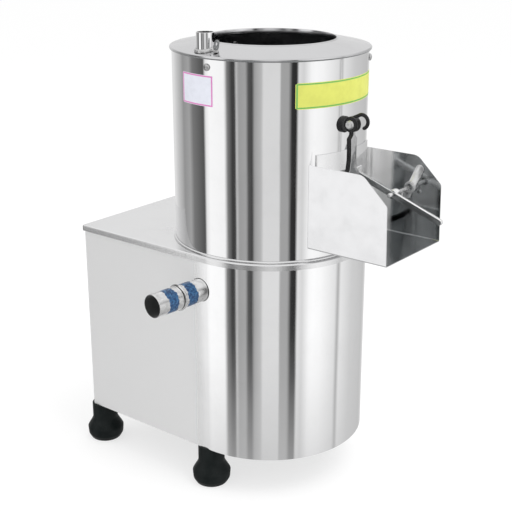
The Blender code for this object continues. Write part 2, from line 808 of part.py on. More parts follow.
def make_drum_foot_ring():
    inner = DRUM_RADIUS + GAP
    low = BASE_TOP + GAP
    profile = [
        (inner, low + FOOT_RING_HEIGHT),
        (inner + FOOT_RING_WIDTH / 2, low + FOOT_RING_HEIGHT),
        (inner + FOOT_RING_WIDTH, low + FOOT_RING_HEIGHT / 2),
        (inner + FOOT_RING_WIDTH, low),
        (inner, low),
    ]
    turned("drum_foot_ring", profile, satin("drum_foot_ring"), steps=LARGE_STEPS, ring=True)


def make_drum_liner(outlet):
    outer = DRUM_RADIUS - DRUM_WALL - LINER_SIDE_GAP
    top = RIM_Z - SKIRT_DEPTH - GAP
    profile = pipe_profile(outer, LINER_WALL, PAN_TOP + GAP, top)
    liner = turned("drum_liner", profile, abrasive("drum_liner"), steps=LARGE_STEPS, ring=True)
    cut(liner, outlet)


def cone_height(radius):
    """Height of the top ring's upper face at a distance from the axis."""
    edge = RIM_RADIUS - RIM_BEAD
    return RIM_Z + RIM_BEAD + CONE_RISE * (edge - radius) / (edge - HOLE_RADIUS)


def make_top_ring(screw_holes):
    bead = (RIM_RADIUS - RIM_BEAD, RIM_Z)
    skirt = DRUM_RADIUS - DRUM_WALL - GAP
    bottom = RIM_Z - SKIRT_DEPTH
    hole_top = cone_height(HOLE_RADIUS)
    profile = [
        (HOLE_RADIUS, hole_top - HOLE_LIP),
        (HOLE_RADIUS, hole_top - RING_WALL / 2),
        (HOLE_RADIUS + RING_WALL / 2, cone_height(HOLE_RADIUS + RING_WALL / 2)),
        *arc(bead, RIM_BEAD, pi / 2, -pi / 2, RIM_BEAD_STEPS),
        (skirt, RIM_Z - RIM_BEAD),
        (skirt, bottom),
        (skirt - RING_WALL, bottom),
        (skirt - RING_WALL, cone_height(skirt - RING_WALL) - RING_WALL),
        (HOLE_RADIUS + RING_WALL, cone_height(HOLE_RADIUS + RING_WALL) - RING_WALL),
        (HOLE_RADIUS + RING_WALL, hole_top - HOLE_LIP),
    ]
    ring = turned("top_ring", profile, satin("top_ring"), steps=LARGE_STEPS, ring=True)
    inlet = turned("inlet_hole", rod_profile(INLET_RADIUS + INLET_HOLE_GAP, -RIM_BEAD - OVERRUN, CONE_RISE),
                   None, at_angle(INLET_PLACE, INLET_ANGLE, RIM_Z))
    cut(ring, inlet, *screw_holes)


def make_ring_screws():
    seat = DRUM_RADIUS + GAP
    head = arc((0, seat), 1, pi / 2, 0, DOME_STEPS)
    profile = [(RING_SCREW_RADIUS * out, seat + RING_SCREW_HEAD * (up - seat)) for out, up in head]
    profile += [
        (RING_SCREW_SHANK, seat),
        (RING_SCREW_SHANK, DRUM_RADIUS - RING_SCREW_LENGTH),
        (0, DRUM_RADIUS - RING_SCREW_LENGTH),
    ]
    for number, angle in enumerate(ring_screw_angles(), 1):
        turned(f"ring_screw_{number}", profile, polished("ring_screw"), (0, 0, RIM_Z - RING_SCREW_DROP),
               standing(angle), SMALL_STEPS)


def make_inlet():
    place = at_angle(INLET_PLACE, INLET_ANGLE, 0)
    seat = cone_height(INLET_PLACE)
    profile = pipe_profile(INLET_RADIUS, INLET_WALL, seat - INLET_TAIL, seat + INLET_HEIGHT)
    turned("inlet_pipe", profile, polished("inlet_pipe"), place, ring=True)
    inner = INLET_RADIUS + GAP
    lowest = cone_height(INLET_PLACE + inner + INLET_COLLAR_WIDTH)
    rim = [
        (inner, seat + INLET_COLLAR_HEIGHT),
        (inner + INLET_COLLAR_WIDTH / 2, seat + INLET_COLLAR_HEIGHT),
        (inner + INLET_COLLAR_WIDTH, seat + INLET_COLLAR_HEIGHT / 2),
        (inner + INLET_COLLAR_WIDTH, lowest),
        (inner, lowest),
    ]
    collar = turned("inlet_collar", rim, satin("inlet_collar"), place, ring=True)
    cut(collar, cone_cutter())


def cone_cutter():
    """The top ring's upper face as a solid, to trim what stands on it."""
    edge = RIM_RADIUS - RIM_BEAD
    profile = [
        (0, cone_height(0) + GAP),
        (edge, cone_height(edge) + GAP),
        (edge, RIM_Z - OVERRUN),
        (0, RIM_Z - OVERRUN),
    ]
    return turned("cone_cutter", profile, None, steps=LARGE_STEPS)


def make_tap():
    place = at_angle(TAP_PLACE, TAP_ANGLE, 0)
    seat = cone_height(TAP_PLACE)
    lowest = cone_height(TAP_PLACE + TAP_BOSS_RADIUS)
    boss_top = seat + TAP_BOSS_HEIGHT
    boss = turned("tap_boss", rod_profile(TAP_BOSS_RADIUS, lowest, boss_top), polished("tap_boss"), place,
                  steps=SMALL_STEPS)
    cut(boss, cone_cutter())
    neck_top = boss_top + GAP + TAP_NECK_HEIGHT
    neck = rod_profile(TAP_NECK_RADIUS, 0, TAP_NECK_HEIGHT + TAP_WING_HEIGHT / 2)
    handle = turned("tap_handle", neck, machined("tap_handle"), (place[0], place[1], boss_top + GAP),
                    (0, 0, TAP_REST_TURN), SMALL_STEPS)
    half = TAP_WING_SPAN / 2
    wing = [
        (-TAP_NECK_RADIUS, 0),
        (TAP_NECK_RADIUS, 0),
        *arc((half - TAP_WING_HEIGHT / 2, TAP_WING_HEIGHT / 2), TAP_WING_HEIGHT / 2, -pi / 4, pi / 2, 4),
        (0, TAP_WING_HEIGHT * 2 / 3),
        *arc((TAP_WING_HEIGHT / 2 - half, TAP_WING_HEIGHT / 2), TAP_WING_HEIGHT / 2, pi / 2, 5 * pi / 4, 4),
    ]
    blade = flat("tap_wing", [wing], TAP_WING_THICKNESS, None, (place[0], place[1], neck_top),
                 (pi / 2, 0, TAP_REST_TURN))
    join(handle, blade)


def make_pan():
    flange = DRUM_RADIUS - DRUM_WALL - PAN_FLANGE_GAP
    under = BASE_TOP + GAP
    neck = PAN_NECK_BORE
    profile = [
        (flange, PAN_TOP),
        (flange, under),
        (PAN_RADIUS, under),
        (PAN_RADIUS, PAN_BOTTOM),
        (neck, PAN_BOTTOM),
        (neck, PAN_BOTTOM + PAN_NECK_HEIGHT),
        (neck + PAN_WALL, PAN_BOTTOM + PAN_NECK_HEIGHT),
        (neck + PAN_WALL, PAN_BOTTOM + PAN_WALL),
        (PAN_RADIUS - PAN_WALL, PAN_BOTTOM + PAN_WALL),
        (PAN_RADIUS - PAN_WALL, PAN_TOP),
    ]
    pan = turned("water_pan", profile, satin("water_pan"), steps=LARGE_STEPS, ring=True)
    cut(pan, drain_cutter(DRAIN_RADIUS - DRAIN_WALL, PAN_RADIUS - PAN_WALL - DRAIN_RADIUS, BASE_RADIUS))


def make_drain():
    pan_face = turned("pan_face", rod_profile(PAN_RADIUS + GAP, PAN_BOTTOM - OVERRUN, BASE_TOP), None,
                      steps=LARGE_STEPS)
    place = (0, 0, DRAIN_Z)
    stub_start = PAN_RADIUS - DRAIN_WALL - OVERRUN
    stub_end = COLLAR_REACH + COLLAR_WIDTH / 2
    stub = turned("drain_stub", pipe_profile(DRAIN_RADIUS, DRAIN_WALL, stub_start, stub_end),
                  polished("drain_stub"), place, standing(DRAIN_ANGLE), ring=True)
    cut(stub, pan_face)
    inner = DRAIN_RADIUS + GAP
    bead = [
        (inner, COLLAR_REACH + COLLAR_WIDTH / 2),
        (inner + COLLAR_STEP / 2, COLLAR_REACH + COLLAR_WIDTH / 2),
        (inner + COLLAR_STEP, COLLAR_REACH + COLLAR_WIDTH / 4),
        (inner + COLLAR_STEP, COLLAR_REACH - COLLAR_WIDTH / 4),
        (inner + COLLAR_STEP / 2, COLLAR_REACH - COLLAR_WIDTH / 2),
        (inner, COLLAR_REACH - COLLAR_WIDTH / 2),
    ]
    turned("drain_collar", bead, polished("drain_collar"), place, standing(DRAIN_ANGLE), ring=True)
    spout_start = stub_end + GAP
    turned("drain_spout", pipe_profile(SPOUT_RADIUS, DRAIN_WALL, spout_start, DRAIN_REACH),
           polished("drain_spout"), place, standing(DRAIN_ANGLE), ring=True)


def chute_corner_outline():
    """What is cut off the chute's sides above and in front, seen from the side."""
    slope_end = (CHUTE_REACH - CHUTE_FRONT_LEAN, CHUTE_TOP - CHUTE_SLOPE_DROP)
    fall = CHUTE_SLOPE_DROP / (slope_end[0] - CHUTE_TOP_REACH)
    lean = sqrt(1 + fall * fall)
    set_back = CHUTE_TOP_ROUND * (lean - 1) / fall
    centre = (CHUTE_TOP_REACH - set_back, CHUTE_TOP - CHUTE_TOP_ROUND)
    stop = pi / 2 - acos(1 / lean)
    rounding = arc(centre, CHUTE_TOP_ROUND, pi / 2, stop, CHUTE_ROUND_STEPS)
    clear = CHUTE_REACH + OVERRUN
    above = CHUTE_TOP + OVERRUN
    return [
        (centre[0], above),
        *rounding,
        slope_end,
        (CHUTE_REACH, CHUTE_FLOOR - OVERRUN),
        (clear, CHUTE_FLOOR - OVERRUN),
        (clear, above),
    ]


def make_chute():
    half = CHUTE_HALF_WIDTH
    start = DRUM_RADIUS - GATE_HALF_WIDTH
    across = [(-half, CHUTE_TOP), (-half, CHUTE_FLOOR), (half, CHUTE_FLOOR), (half, CHUTE_TOP)]
    sections = [[(x, y, z) for y, z in across] for x in (start, CHUTE_REACH)]
    chute = skin("discharge_chute", sections, CHUTE_WALL, polished("chute"), cyclic=False)
    drum = turned("drum_face", rod_profile(DRUM_RADIUS + GAP, BASE_TOP, RIM_Z), None, steps=LARGE_STEPS)
    corner = flat("chute_corner", [chute_corner_outline()], 2 * half + 2 * OVERRUN, None, rotation=IN_XZ)
    cut(chute, drum, corner)


def curved_plate(name, inner, wall, half_width, middle, bottom, top, material):
    """A plate rolled to a radius about the drum's axis, between two heights."""
    span = half_width / inner
    mesh = bpy.data.meshes.new(name)
    mesh.from_pydata([(inner + wall, 0, top), (inner + wall, 0, bottom)], [(0, 1)], [])
    obj = add(name, mesh, material, (0, 0, 0), (0, 0, middle - span))
    screw = obj.modifiers.new("Roll", "SCREW")
    screw.angle = 2 * span
    screw.steps = GATE_STEPS
    screw.render_steps = GATE_STEPS
    screw.use_smooth_shade = True
    solidify = obj.modifiers.new("Wall", "SOLIDIFY")
    solidify.thickness = wall
    solidify.offset = -1
    return obj


def make_gate_plate():
    half = GATE_INNER * (pi / 2 - acos(GATE_HALF_WIDTH / GATE_OUTER))
    curved_plate("gate_plate", GATE_INNER, GATE_WALL, half, 0, GATE_BOTTOM, GATE_TOP, polished("gate_plate"))


def gate_face():
    """The gate's outer face as a solid, to seat what is fixed on it."""
    radius = (GATE_OUTER + GAP) / cos(pi / LARGE_STEPS)
    return turned("gate_face", rod_profile(radius, BASE_TOP, RIM_Z), None, steps=LARGE_STEPS)


def hanger_outline():
    """Front view of the strap about the pivot: neck, shoulders, waist and a spread foot."""
    foot = -HANGER_FOOT_DROP
    flare = foot * (1 - STRAP_FLARE_SHARE)
    right = [
        (TONGUE_WIDTH / 2, 0),
        (TONGUE_WIDTH / 2, -TONGUE_DROP),
        (STRAP_TOP_WIDTH / 2, -TONGUE_DROP - TONGUE_WIDTH),
        (STRAP_WAIST_WIDTH / 2, (flare - TONGUE_DROP) / 2),
        (STRAP_WAIST_WIDTH / 2, flare),
        (STRAP_FOOT_WIDTH / 2, foot * (1 - STRAP_FLARE_SHARE / 3)),
        (HANGER_FOOT_WIDTH / 2, foot + HANGER_FOOT_HEIGHT / 2),
        (HANGER_FOOT_WIDTH / 2, foot - HANGER_FOOT_HEIGHT / 2),
    ]
    return right + [(-x, z) for x, z in reversed(right)]


def make_gate_hanger():
    place = (PIVOT_X, HANGER_Y, PIVOT_Z)
    hanger = flat("gate_hanger", [hanger_outline()], HANGER_THICKNESS, polished("gate_hanger"), place, IN_YZ)
    half = TONGUE_WIDTH / 2
    eye = turned("hanger_eye", rod_profile(TONGUE_RADIUS, -half, half), None, place, ALONG_Y, MEDIUM_STEPS)
    bore = turned("hanger_bore", rod_profile(PIVOT_BOLT_RADIUS + PIVOT_BORE_GAP, -OVERRUN, OVERRUN), None,
                  place, BORE_ALONG_Y, SMALL_STEPS)
    foot_half = HANGER_FOOT_WIDTH / 2
    low = (GATE_INNER - foot_half - PIVOT_X, -foot_half, -HANGER_FOOT_DROP - HANGER_FOOT_HEIGHT / 2)
    high = (HANGER_THICKNESS / 4, foot_half, -HANGER_FOOT_DROP + HANGER_FOOT_HEIGHT / 2)
    foot = block("hanger_foot", low, high, None, location=place)
    join(hanger, eye, foot)
    cut(hanger, gate_face(), bore)


def make_lever_bar():
    start = (BAR_START_X - OVERRUN, BAR_START_Z - OVERRUN * tan(BAR_SLOPE))
    end_x = BAR_TIP_X - BAR_DEPTH / 2
    length = (end_x - start[0]) / cos(BAR_SLOPE)
    side = [
        (-OVERRUN, BAR_DEPTH / 2),
        (-OVERRUN, -BAR_DEPTH / 2),
        *arc((length, 0), BAR_DEPTH / 2, -pi / 2, pi / 2, BAR_END_STEPS),
    ]
    bar = flat("lever_bar", [side], BAR_WIDTH, polished("lever_bar"), (start[0], BAR_Y, start[1]),
               (pi / 2, -BAR_SLOPE, 0))
    middle = BAR_Y / GATE_OUTER
    pad = curved_plate("bar_pad", GATE_OUTER + GAP, PAD_WALL, BAR_PAD_WIDTH / 2, middle,
                       BAR_START_Z - BAR_PAD_HEIGHT / 2, BAR_START_Z + BAR_PAD_HEIGHT / 2, None)
    axis = (BOLT_X, BAR_Y, BOLT_Z)
    boss = turned("bolt_boss", rod_profile(BOLT_BOSS_RADIUS, 0, BOLT_BOSS_END_Y - BAR_Y), None, axis, ALONG_Y)
    bore = turned("bolt_bore", rod_profile(BOLT_RADIUS + BOLT_BORE_GAP, -BAR_WIDTH, BOLT_BOSS_END_Y), None, axis,
                  BORE_ALONG_Y, SMALL_STEPS)
    join(bar, pad, boss)
    cut(bar, gate_face(), bore)


def make_slide_bolt():
    rod = turned("slide_bolt", rod_profile(BOLT_RADIUS, BOLT_TAIL_Y, BOLT_TIP_Y), machined("slide_bolt"),
                 (BOLT_X, 0, BOLT_Z), ALONG_Y, SMALL_STEPS)
    peg = turned("bolt_peg", rod_profile(BOLT_PEG_RADIUS, -BOLT_PEG_LENGTH, 0), None,
                 (BOLT_X, BOLT_PEG_Y, BOLT_Z), steps=SMALL_STEPS)
    ball = arc((0, -BOLT_PEG_LENGTH), BOLT_KNOB_RADIUS, pi / 2, -pi / 2, 2 * DOME_STEPS)
    knob = turned("bolt_knob", ball, None, (BOLT_X, BOLT_PEG_Y, BOLT_Z), steps=SMALL_STEPS)
    join(rod, peg, knob)


def make_keeper():
    start = KEEPER_FACE - KEEPER_THICKNESS
    axis = (BOLT_X, start, BOLT_Z)
    eye = turned("bolt_keeper", rod_profile(KEEPER_EYE_RADIUS, 0, KEEPER_THICKNESS), black_iron("keeper"),
                 axis, ALONG_Y, MEDIUM_STEPS)
    half = KEEPER_WIDTH / 2
    run = hypot(KEEPER_RUN, KEEPER_RISE)
    lean = acos(KEEPER_RUN / run)
    link = [*arc((run, 0), half, -pi / 2, pi / 2, BAR_END_STEPS),
            *arc((-KEEPER_TAIL, 0), half, pi / 2, 3 * pi / 2, BAR_END_STEPS)]
    plate = flat("keeper_plate", [link], KEEPER_PLATE_THICKNESS, None,
                 (BOLT_X, KEEPER_FACE - KEEPER_PLATE_THICKNESS / 2, BOLT_Z), (pi / 2, -lean, 0))
    bore = turned("keeper_bore", rod_profile(BOLT_RADIUS + KEEPER_BORE_GAP, -OVERRUN,
                                             KEEPER_THICKNESS + OVERRUN), None, axis, BORE_ALONG_Y,
                  MEDIUM_STEPS)
    join(eye, plate)
    cut(eye, bore)


def make_bracket():
    place = (PIVOT_X, HANGER_Y, PIVOT_Z)
    half = BOSS_WIDTH / 2
    boss = turned("gate_bracket", rod_profile(BOSS_RADIUS, -half, half), black_iron("bracket"), place, ALONG_Y)
    inner = DRUM_RADIUS - FLANGE_RADIUS - PIVOT_X
    outer = DRUM_RADIUS + FLANGE_THICKNESS - PIVOT_X
    flange = turned("bracket_flange", rod_profile(FLANGE_RADIUS, inner, outer), None,
                    (PIVOT_X, HANGER_Y, PIVOT_Z - FLANGE_DROP), standing())
    curl = arc((FINGER_CENTRE_X, FINGER_CENTRE_RISE), FINGER_CURL, FINGER_START, FINGER_STOP, FINGER_STEPS)
    root = (0, BOSS_RADIUS - FINGER_RADIUS)
    finger = tube("bracket_finger", [(x, 0, z) for x, z in [root, *curl]], FINGER_RADIUS, None, place)
    drum = turned("bracket_seat", rod_profile(DRUM_RADIUS + GAP, BASE_TOP, RIM_Z), None, steps=LARGE_STEPS)
    slot_half = TONGUE_WIDTH / 2 + SLOT_GAP
    reach = BOSS_RADIUS + OVERRUN
    back = TONGUE_RADIUS + SLOT_GAP
    slot = block("bracket_slot", (-back, -slot_half, -reach), (reach, slot_half, back), None, location=place)
    bore = turned("bracket_bore", rod_profile(PIVOT_BOLT_RADIUS + PIVOT_BORE_GAP, -reach, reach), None, place,
                  BORE_ALONG_Y, SMALL_STEPS)
    join(boss, flange, finger)
    cut(boss, slot, bore, drum)


def make_pivot_bolt():
    half = BOSS_WIDTH / 2 + GAP
    head = PIVOT_HEAD_RADIUS
    profile = [
        (0, half + PIVOT_HEAD_HEIGHT),
        (head, half + PIVOT_HEAD_HEIGHT),
        (head, half),
        (PIVOT_BOLT_RADIUS, half),
        (PIVOT_BOLT_RADIUS, -half),
        (head, -half),
        (head, -half - PIVOT_HEAD_HEIGHT),
        (0, -half - PIVOT_HEAD_HEIGHT),
    ]
    turned("pivot_bolt", profile, polished("pivot_bolt"), (PIVOT_X, HANGER_Y, PIVOT_Z), ALONG_Y,
           2 * PIVOT_HEAD_SIDES)


def disc_section(radius, height, wave):
    """One ring of the disc, raised into waves that run out to its edge."""
    points = []
    for step in range(LARGE_STEPS):
        turn = 2 * pi * step / LARGE_STEPS
        points.append((radius * cos(turn), radius * sin(turn), height + wave * (1 + cos(DISC_WAVES * turn)) / 2))
    return points


def make_disc():
    inner = SHAFT_TOP_RADIUS / 2
    sections = [disc_section(inner, DISC_BOTTOM, 0), disc_section(DISC_RADIUS, DISC_BOTTOM, 0)]
    for ring in range(DISC_RINGS + 1):
        share = ring / DISC_RINGS
        radius = DISC_RADIUS + (inner - DISC_RADIUS) * share
        wave = DISC_WAVE_HEIGHT * sin(pi * min(1, share + 1 / DISC_RINGS))
        sections.append(disc_section(radius, DISC_TOP + DISC_CROWN * share * share, wave))
    mesh = bpy.data.meshes.new("peeling_disc")
    shape = bmesh.new()
    rows = [[shape.verts.new(place) for place in section] for section in sections]
    rows.append(rows[0])
    for low, high in zip(rows, rows[1:]):
        for here in range(LARGE_STEPS):
            there = (here + 1) % LARGE_STEPS
            shape.faces.new((low[here], high[here], high[there], low[there]))
    bmesh.ops.recalc_face_normals(shape, faces=shape.faces)
    shape.to_mesh(mesh)
    shape.free()
    mesh.shade_smooth()
    disc = add("peeling_disc", mesh, abrasive("peeling_disc"))
    middle = (DISC_TOP + DISC_BOTTOM) / 2
    hub = turned("disc_hub", rod_profile(HUB_RADIUS, HUB_BOTTOM, middle), None, rotation=(0, 0, BORE_TURN))
    join(disc, hub)
    half = BLADE_THICKNESS / 2
    for turn in (0, pi):
        blade = block("disc_blade", (BLADE_START, -half, DISC_BOTTOM - BLADE_DEPTH), (BLADE_END, half, middle),
                      None, (0, 0, turn))
        join(disc, blade)
    bore = rod_profile(SHAFT_TOP_RADIUS + SHAFT_FIT, HUB_BOTTOM - OVERRUN, CHUTE_FLOOR)
    cut(disc, turned("disc_bore", bore, None, rotation=(0, 0, -BORE_TURN)))


def make_dome_nut():
    low = DISC_TOP + DISC_CROWN + GAP
    middle = low + DOME_NUT_HEIGHT / 2
    dome = arc((0, 0), 1, pi / 2, 0, DOME_STEPS)
    profile = [(DOME_NUT_RADIUS * out, middle + DOME_NUT_HEIGHT / 2 * up) for out, up in dome]
    bore = SHAFT_TOP_RADIUS + GAP
    profile += [
        (DOME_NUT_RADIUS, low),
        (bore, low),
        (bore, middle),
        (0, middle),
    ]
    turned("disc_nut", profile, polished("disc_nut"), steps=2 * SMALL_STEPS)


def make_shaft():
    shoulder = HUB_BOTTOM - GAP
    top = DISC_TOP + DISC_CROWN + DOME_NUT_HEIGHT / 2 - GAP
    profile = [
        (0, top),
        (SHAFT_TOP_RADIUS, top),
        (SHAFT_TOP_RADIUS, shoulder),
        (SHAFT_RADIUS, shoulder),
        (SHAFT_RADIUS, SHAFT_BOTTOM),
        (0, SHAFT_BOTTOM),
    ]
    turned("main_shaft", profile, machined("main_shaft"))


def make_bearings():
    seat = BEARING_RADIUS + GAP
    low = HOUSING_BOTTOM
    profile = [
        (HOUSING_FLANGE_RADIUS, HOUSING_TOP),
        (HOUSING_FLANGE_RADIUS, HOUSING_TOP - HOUSING_FLANGE),
        (HOUSING_RADIUS, HOUSING_TOP - HOUSING_FLANGE),
        (HOUSING_RADIUS, low),
        (seat, low),
        (seat, low + BEARING_HEIGHT + GAP),
        (HOUSING_BORE, low + BEARING_HEIGHT + GAP),
        (HOUSING_BORE, HOUSING_TOP - BEARING_HEIGHT - GAP),
        (seat, HOUSING_TOP - BEARING_HEIGHT - GAP),
        (seat, HOUSING_TOP),
    ]
    turned("bearing_housing", profile, painted("bearing_housing"), ring=True)
    wall = BEARING_RADIUS - SHAFT_RADIUS - SHAFT_FIT
    for name, bottom in (("upper_bearing", HOUSING_TOP - BEARING_HEIGHT), ("lower_bearing", low)):
        section = pipe_profile(BEARING_RADIUS, wall, bottom, bottom + BEARING_HEIGHT)
        turned(name, section, machined("bearing"), ring=True)
    seal = PAN_NECK_BORE - GAP
    top = PAN_BOTTOM + PAN_NECK_HEIGHT
    section = pipe_profile(seal, seal - SHAFT_RADIUS - SHAFT_FIT, top - SEAL_HEIGHT, top)
    turned("shaft_seal", section, black_rubber("shaft_seal"), ring=True)


def pulley_profile(radius, bore, hub):
    """A V-belt pulley's section, with a thinner web where the rim and hub leave room for it."""
    half = PULLEY_WIDTH / 2
    groove = radius - PULLEY_GROOVE_DEPTH
    mouth = PULLEY_GROOVE_MOUTH / 2
    floor = PULLEY_GROOVE_WIDTH / 2
    rim = radius - PULLEY_RIM
    web = PULLEY_WEB / 2
    upper = [(hub, half), (hub, web), (rim, web), (rim, half)] if rim > hub else []
    outer = [(radius, half), (radius, mouth), (groove, floor), (groove, -floor), (radius, -mouth), (radius, -half)]
    lower = [(x, -z) for x, z in reversed(upper)]
    return [(bore, half), *upper, *outer, *lower, (bore, -half)]


def make_pulleys():
    driven = pulley_profile(DRIVEN_RADIUS, SHAFT_RADIUS + GAP, PULLEY_HUB)
    turned("driven_pulley", driven, painted("driven_pulley"), (0, 0, PULLEY_HEIGHT),
           steps=PULLEY_STEPS, ring=True)
    driver = pulley_profile(MOTOR_PULLEY_RADIUS, MOTOR_SHAFT_RADIUS + GAP, PULLEY_HUB)
    turned("motor_pulley", driver, machined("motor_pulley"), (MOTOR_X, 0, PULLEY_HEIGHT), ring=True)


def belt_outline(offset):
    """The belt's run round both pulleys, at an offset from their groove floors."""
    large = DRIVEN_RADIUS - PULLEY_GROOVE_DEPTH + offset
    small = MOTOR_PULLEY_RADIUS - PULLEY_GROOVE_DEPTH + offset
    lean = acos((large - small) / -MOTOR_X)
    front = arc((0, 0), large, lean - pi, pi - lean, BELT_STEPS)
    rear = arc((MOTOR_X, 0), small, pi - lean, pi + lean, BELT_STEPS)
    return front + rear


def make_belt():
    inner = belt_outline(BELT_SEAT_GAP)
    outer = belt_outline(BELT_SEAT_GAP + BELT_THICKNESS)
    flat("v_belt", [outer, inner], BELT_WIDTH, black_rubber("v_belt"), (0, 0, PULLEY_HEIGHT))


def motor_outline():
    """The finned motor casing seen along its shaft."""
    points = []
    pitch = 2 * pi / MOTOR_FINS
    root = MOTOR_RADIUS - MOTOR_FIN_DEPTH
    for fin in range(MOTOR_FINS):
        turn = fin * pitch
        width = pitch * MOTOR_FIN_SHARE
        for radius, angle in ((MOTOR_RADIUS, turn), (MOTOR_RADIUS, turn + width),
                              (root, turn + width), (root, turn + pitch)):
            points.append((radius * cos(angle), radius * sin(angle)))
    return points


def make_motor():
    low = MOTOR_BOTTOM
    body_low = low + SHIELD_HEIGHT
    body_top = body_low + MOTOR_LENGTH
    middle = (body_low + body_top) / 2
    body = flat("motor_body", [motor_outline()], MOTOR_LENGTH, painted("motor"), (MOTOR_X, 0, middle))
    for bottom, top in ((low, body_low + GAP), (body_top - GAP, MOTOR_TOP)):
        join(body, turned("motor_shield", rod_profile(SHIELD_RADIUS, bottom, top), None, (MOTOR_X, 0, 0)))
    bore = rod_profile(MOTOR_SHAFT_RADIUS + SHAFT_FIT, low - OVERRUN, MOTOR_TOP + OVERRUN)
    cut(body, turned("motor_bore", bore, None, (MOTOR_X, 0, 0), (0, 0, BORE_TURN)))
    fan_low = MOTOR_TOP + FAN_SIDE_GAP
    shaft = rod_profile(MOTOR_SHAFT_RADIUS, MOTOR_SHAFT_BOTTOM, fan_low + FAN_HEIGHT)
    turned("motor_shaft", shaft, machined("motor_shaft"), (MOTOR_X, 0, 0))
    make_motor_fan(fan_low)
    make_fan_cover()


def make_motor_fan(low):
    bore = MOTOR_SHAFT_RADIUS + GAP
    section = pipe_profile(FAN_HUB_RADIUS, FAN_HUB_RADIUS - bore, low, low + FAN_HEIGHT)
    fan = turned("motor_fan", section, plastic("motor_fan"), (MOTOR_X, 0, 0), ring=True)
    half = FAN_BLADE_THICKNESS / 2
    start = (bore + FAN_HUB_RADIUS) / 2
    for blade in range(FAN_BLADES):
        turn = 2 * pi * blade / FAN_BLADES
        join(fan, block("fan_blade", (start, -half, low + GAP), (FAN_RADIUS, half, low + FAN_HEIGHT - GAP), None,
                        (0, 0, turn), (MOTOR_X, 0, 0)))


def make_fan_cover():
    low = MOTOR_TOP + GAP
    top = low + FAN_COVER_HEIGHT
    wall = FAN_COVER_WALL
    outer = SHIELD_RADIUS
    profile = [
        (FAN_COVER_HOLE, top),
        (outer - OVERRUN, top),
        (outer, top - OVERRUN),
        (outer, low),
        (outer - wall, low),
        (outer - wall, top - OVERRUN),
        (outer - OVERRUN - wall / 2, top - wall),
        (FAN_COVER_HOLE, top - wall),
    ]
    turned("fan_cover", profile, painted("fan_cover"), (MOTOR_X, 0, 0), ring=True)


def make_shelf():
    side = BASE_RADIUS - BASE_WALL - GAP
    rear = PANEL_X + BASE_WALL + SHELF_REAR_GAP
    top = SHELF_BOTTOM + SHELF_FLANGE
    across = [(-side, top), (-side, SHELF_BOTTOM), (side, SHELF_BOTTOM), (side, top)]
    sections = [[(x, y, z) for y, z in across] for x in (rear, SHELF_FRONT_X)]
    shelf = skin("motor_shelf", sections, SHELF_THICKNESS, painted("motor_shelf"), cyclic=False)
    hole = turned("shelf_hole", rod_profile(SHELF_HOLE, SHELF_BOTTOM - OVERRUN, SHELF_TOP + OVERRUN), None,
                  (MOTOR_X, 0, 0))
    cut(shelf, hole)


def make_terminal_box():
    long, deep, tall = TERMINAL_SIZE
    low_y = SHIELD_RADIUS + GAP
    low_z = MOTOR_BOTTOM + MOTOR_LENGTH * TERMINAL_RISE_SHARE
    box = block("terminal_box", (-long / 2, low_y, low_z - tall / 2), (long / 2, low_y + deep, low_z + tall / 2),
                painted("terminal_box"), location=(MOTOR_X, 0, 0))
    bevel = box.modifiers.new("Edges", "BEVEL")
    bevel.width = TERMINAL_ROUND
    bevel.segments = 2
    foot = block("terminal_foot", (-long / 4, MOTOR_RADIUS + GAP, low_z - tall / 4),
                 (long / 4, low_y + deep / 2, low_z + tall / 4), None, location=(MOTOR_X, 0, 0))
    join(box, foot)


def make_gland():
    face = REAR_X + BASE_WALL
    out = GLAND_OUTSIDE
    profile = [
        (GLAND_RADIUS, out),
        (GLAND_COLLAR, out - GLAND_FLANGE),
        (GLAND_COLLAR, GAP),
        (GLAND_RADIUS, GAP),
        (GLAND_RADIUS, -GLAND_INSIDE),
        (GLAND_BORE, -GLAND_INSIDE),
        (GLAND_BORE, out),
    ]
    turned("cable_gland", profile, plastic("cable_gland"), (face, GLAND_Y, GLAND_Z), standing(pi),
           SMALL_STEPS, ring=True)


def make_switch():
    face = PANEL_X - GAP
    half = SWITCH_PLATE / 2
    place = (face, SWITCH_Y, SWITCH_Z)
    body = block("switch_body", (-SWITCH_PLATE_THICKNESS, -half, -half), (0, half, half), plastic("switch_body"),
                 location=place)
    inner = SWITCH_BODY / 2
    overlap = SWITCH_PLATE_THICKNESS / 2
    box = block("switch_box", (-overlap, -inner, -inner), (SWITCH_BODY_DEPTH, inner, inner), None, location=place)
    bush_top = SWITCH_PLATE_THICKNESS + SWITCH_BUSH_HEIGHT
    bush = turned("switch_bush", rod_profile(SWITCH_BUSH, overlap, bush_top), None, place, standing(pi),
                  SMALL_STEPS)
    join(body, box, bush)
    base = bush_top + GAP
    disc = rod_profile(KNOB_RADIUS, base, base + KNOB_BASE)
    knob = turned("switch_knob", disc, plastic("switch_knob"), place, standing(pi), MEDIUM_STEPS)
    width = KNOB_GRIP_WIDTH / 2
    reach = KNOB_RADIUS - GAP
    grip = block("knob_grip", (-base - KNOB_BASE - KNOB_GRIP, -width, -reach),
                 (-base - KNOB_BASE / 2, width, reach), None, location=place)
    join(knob, grip)


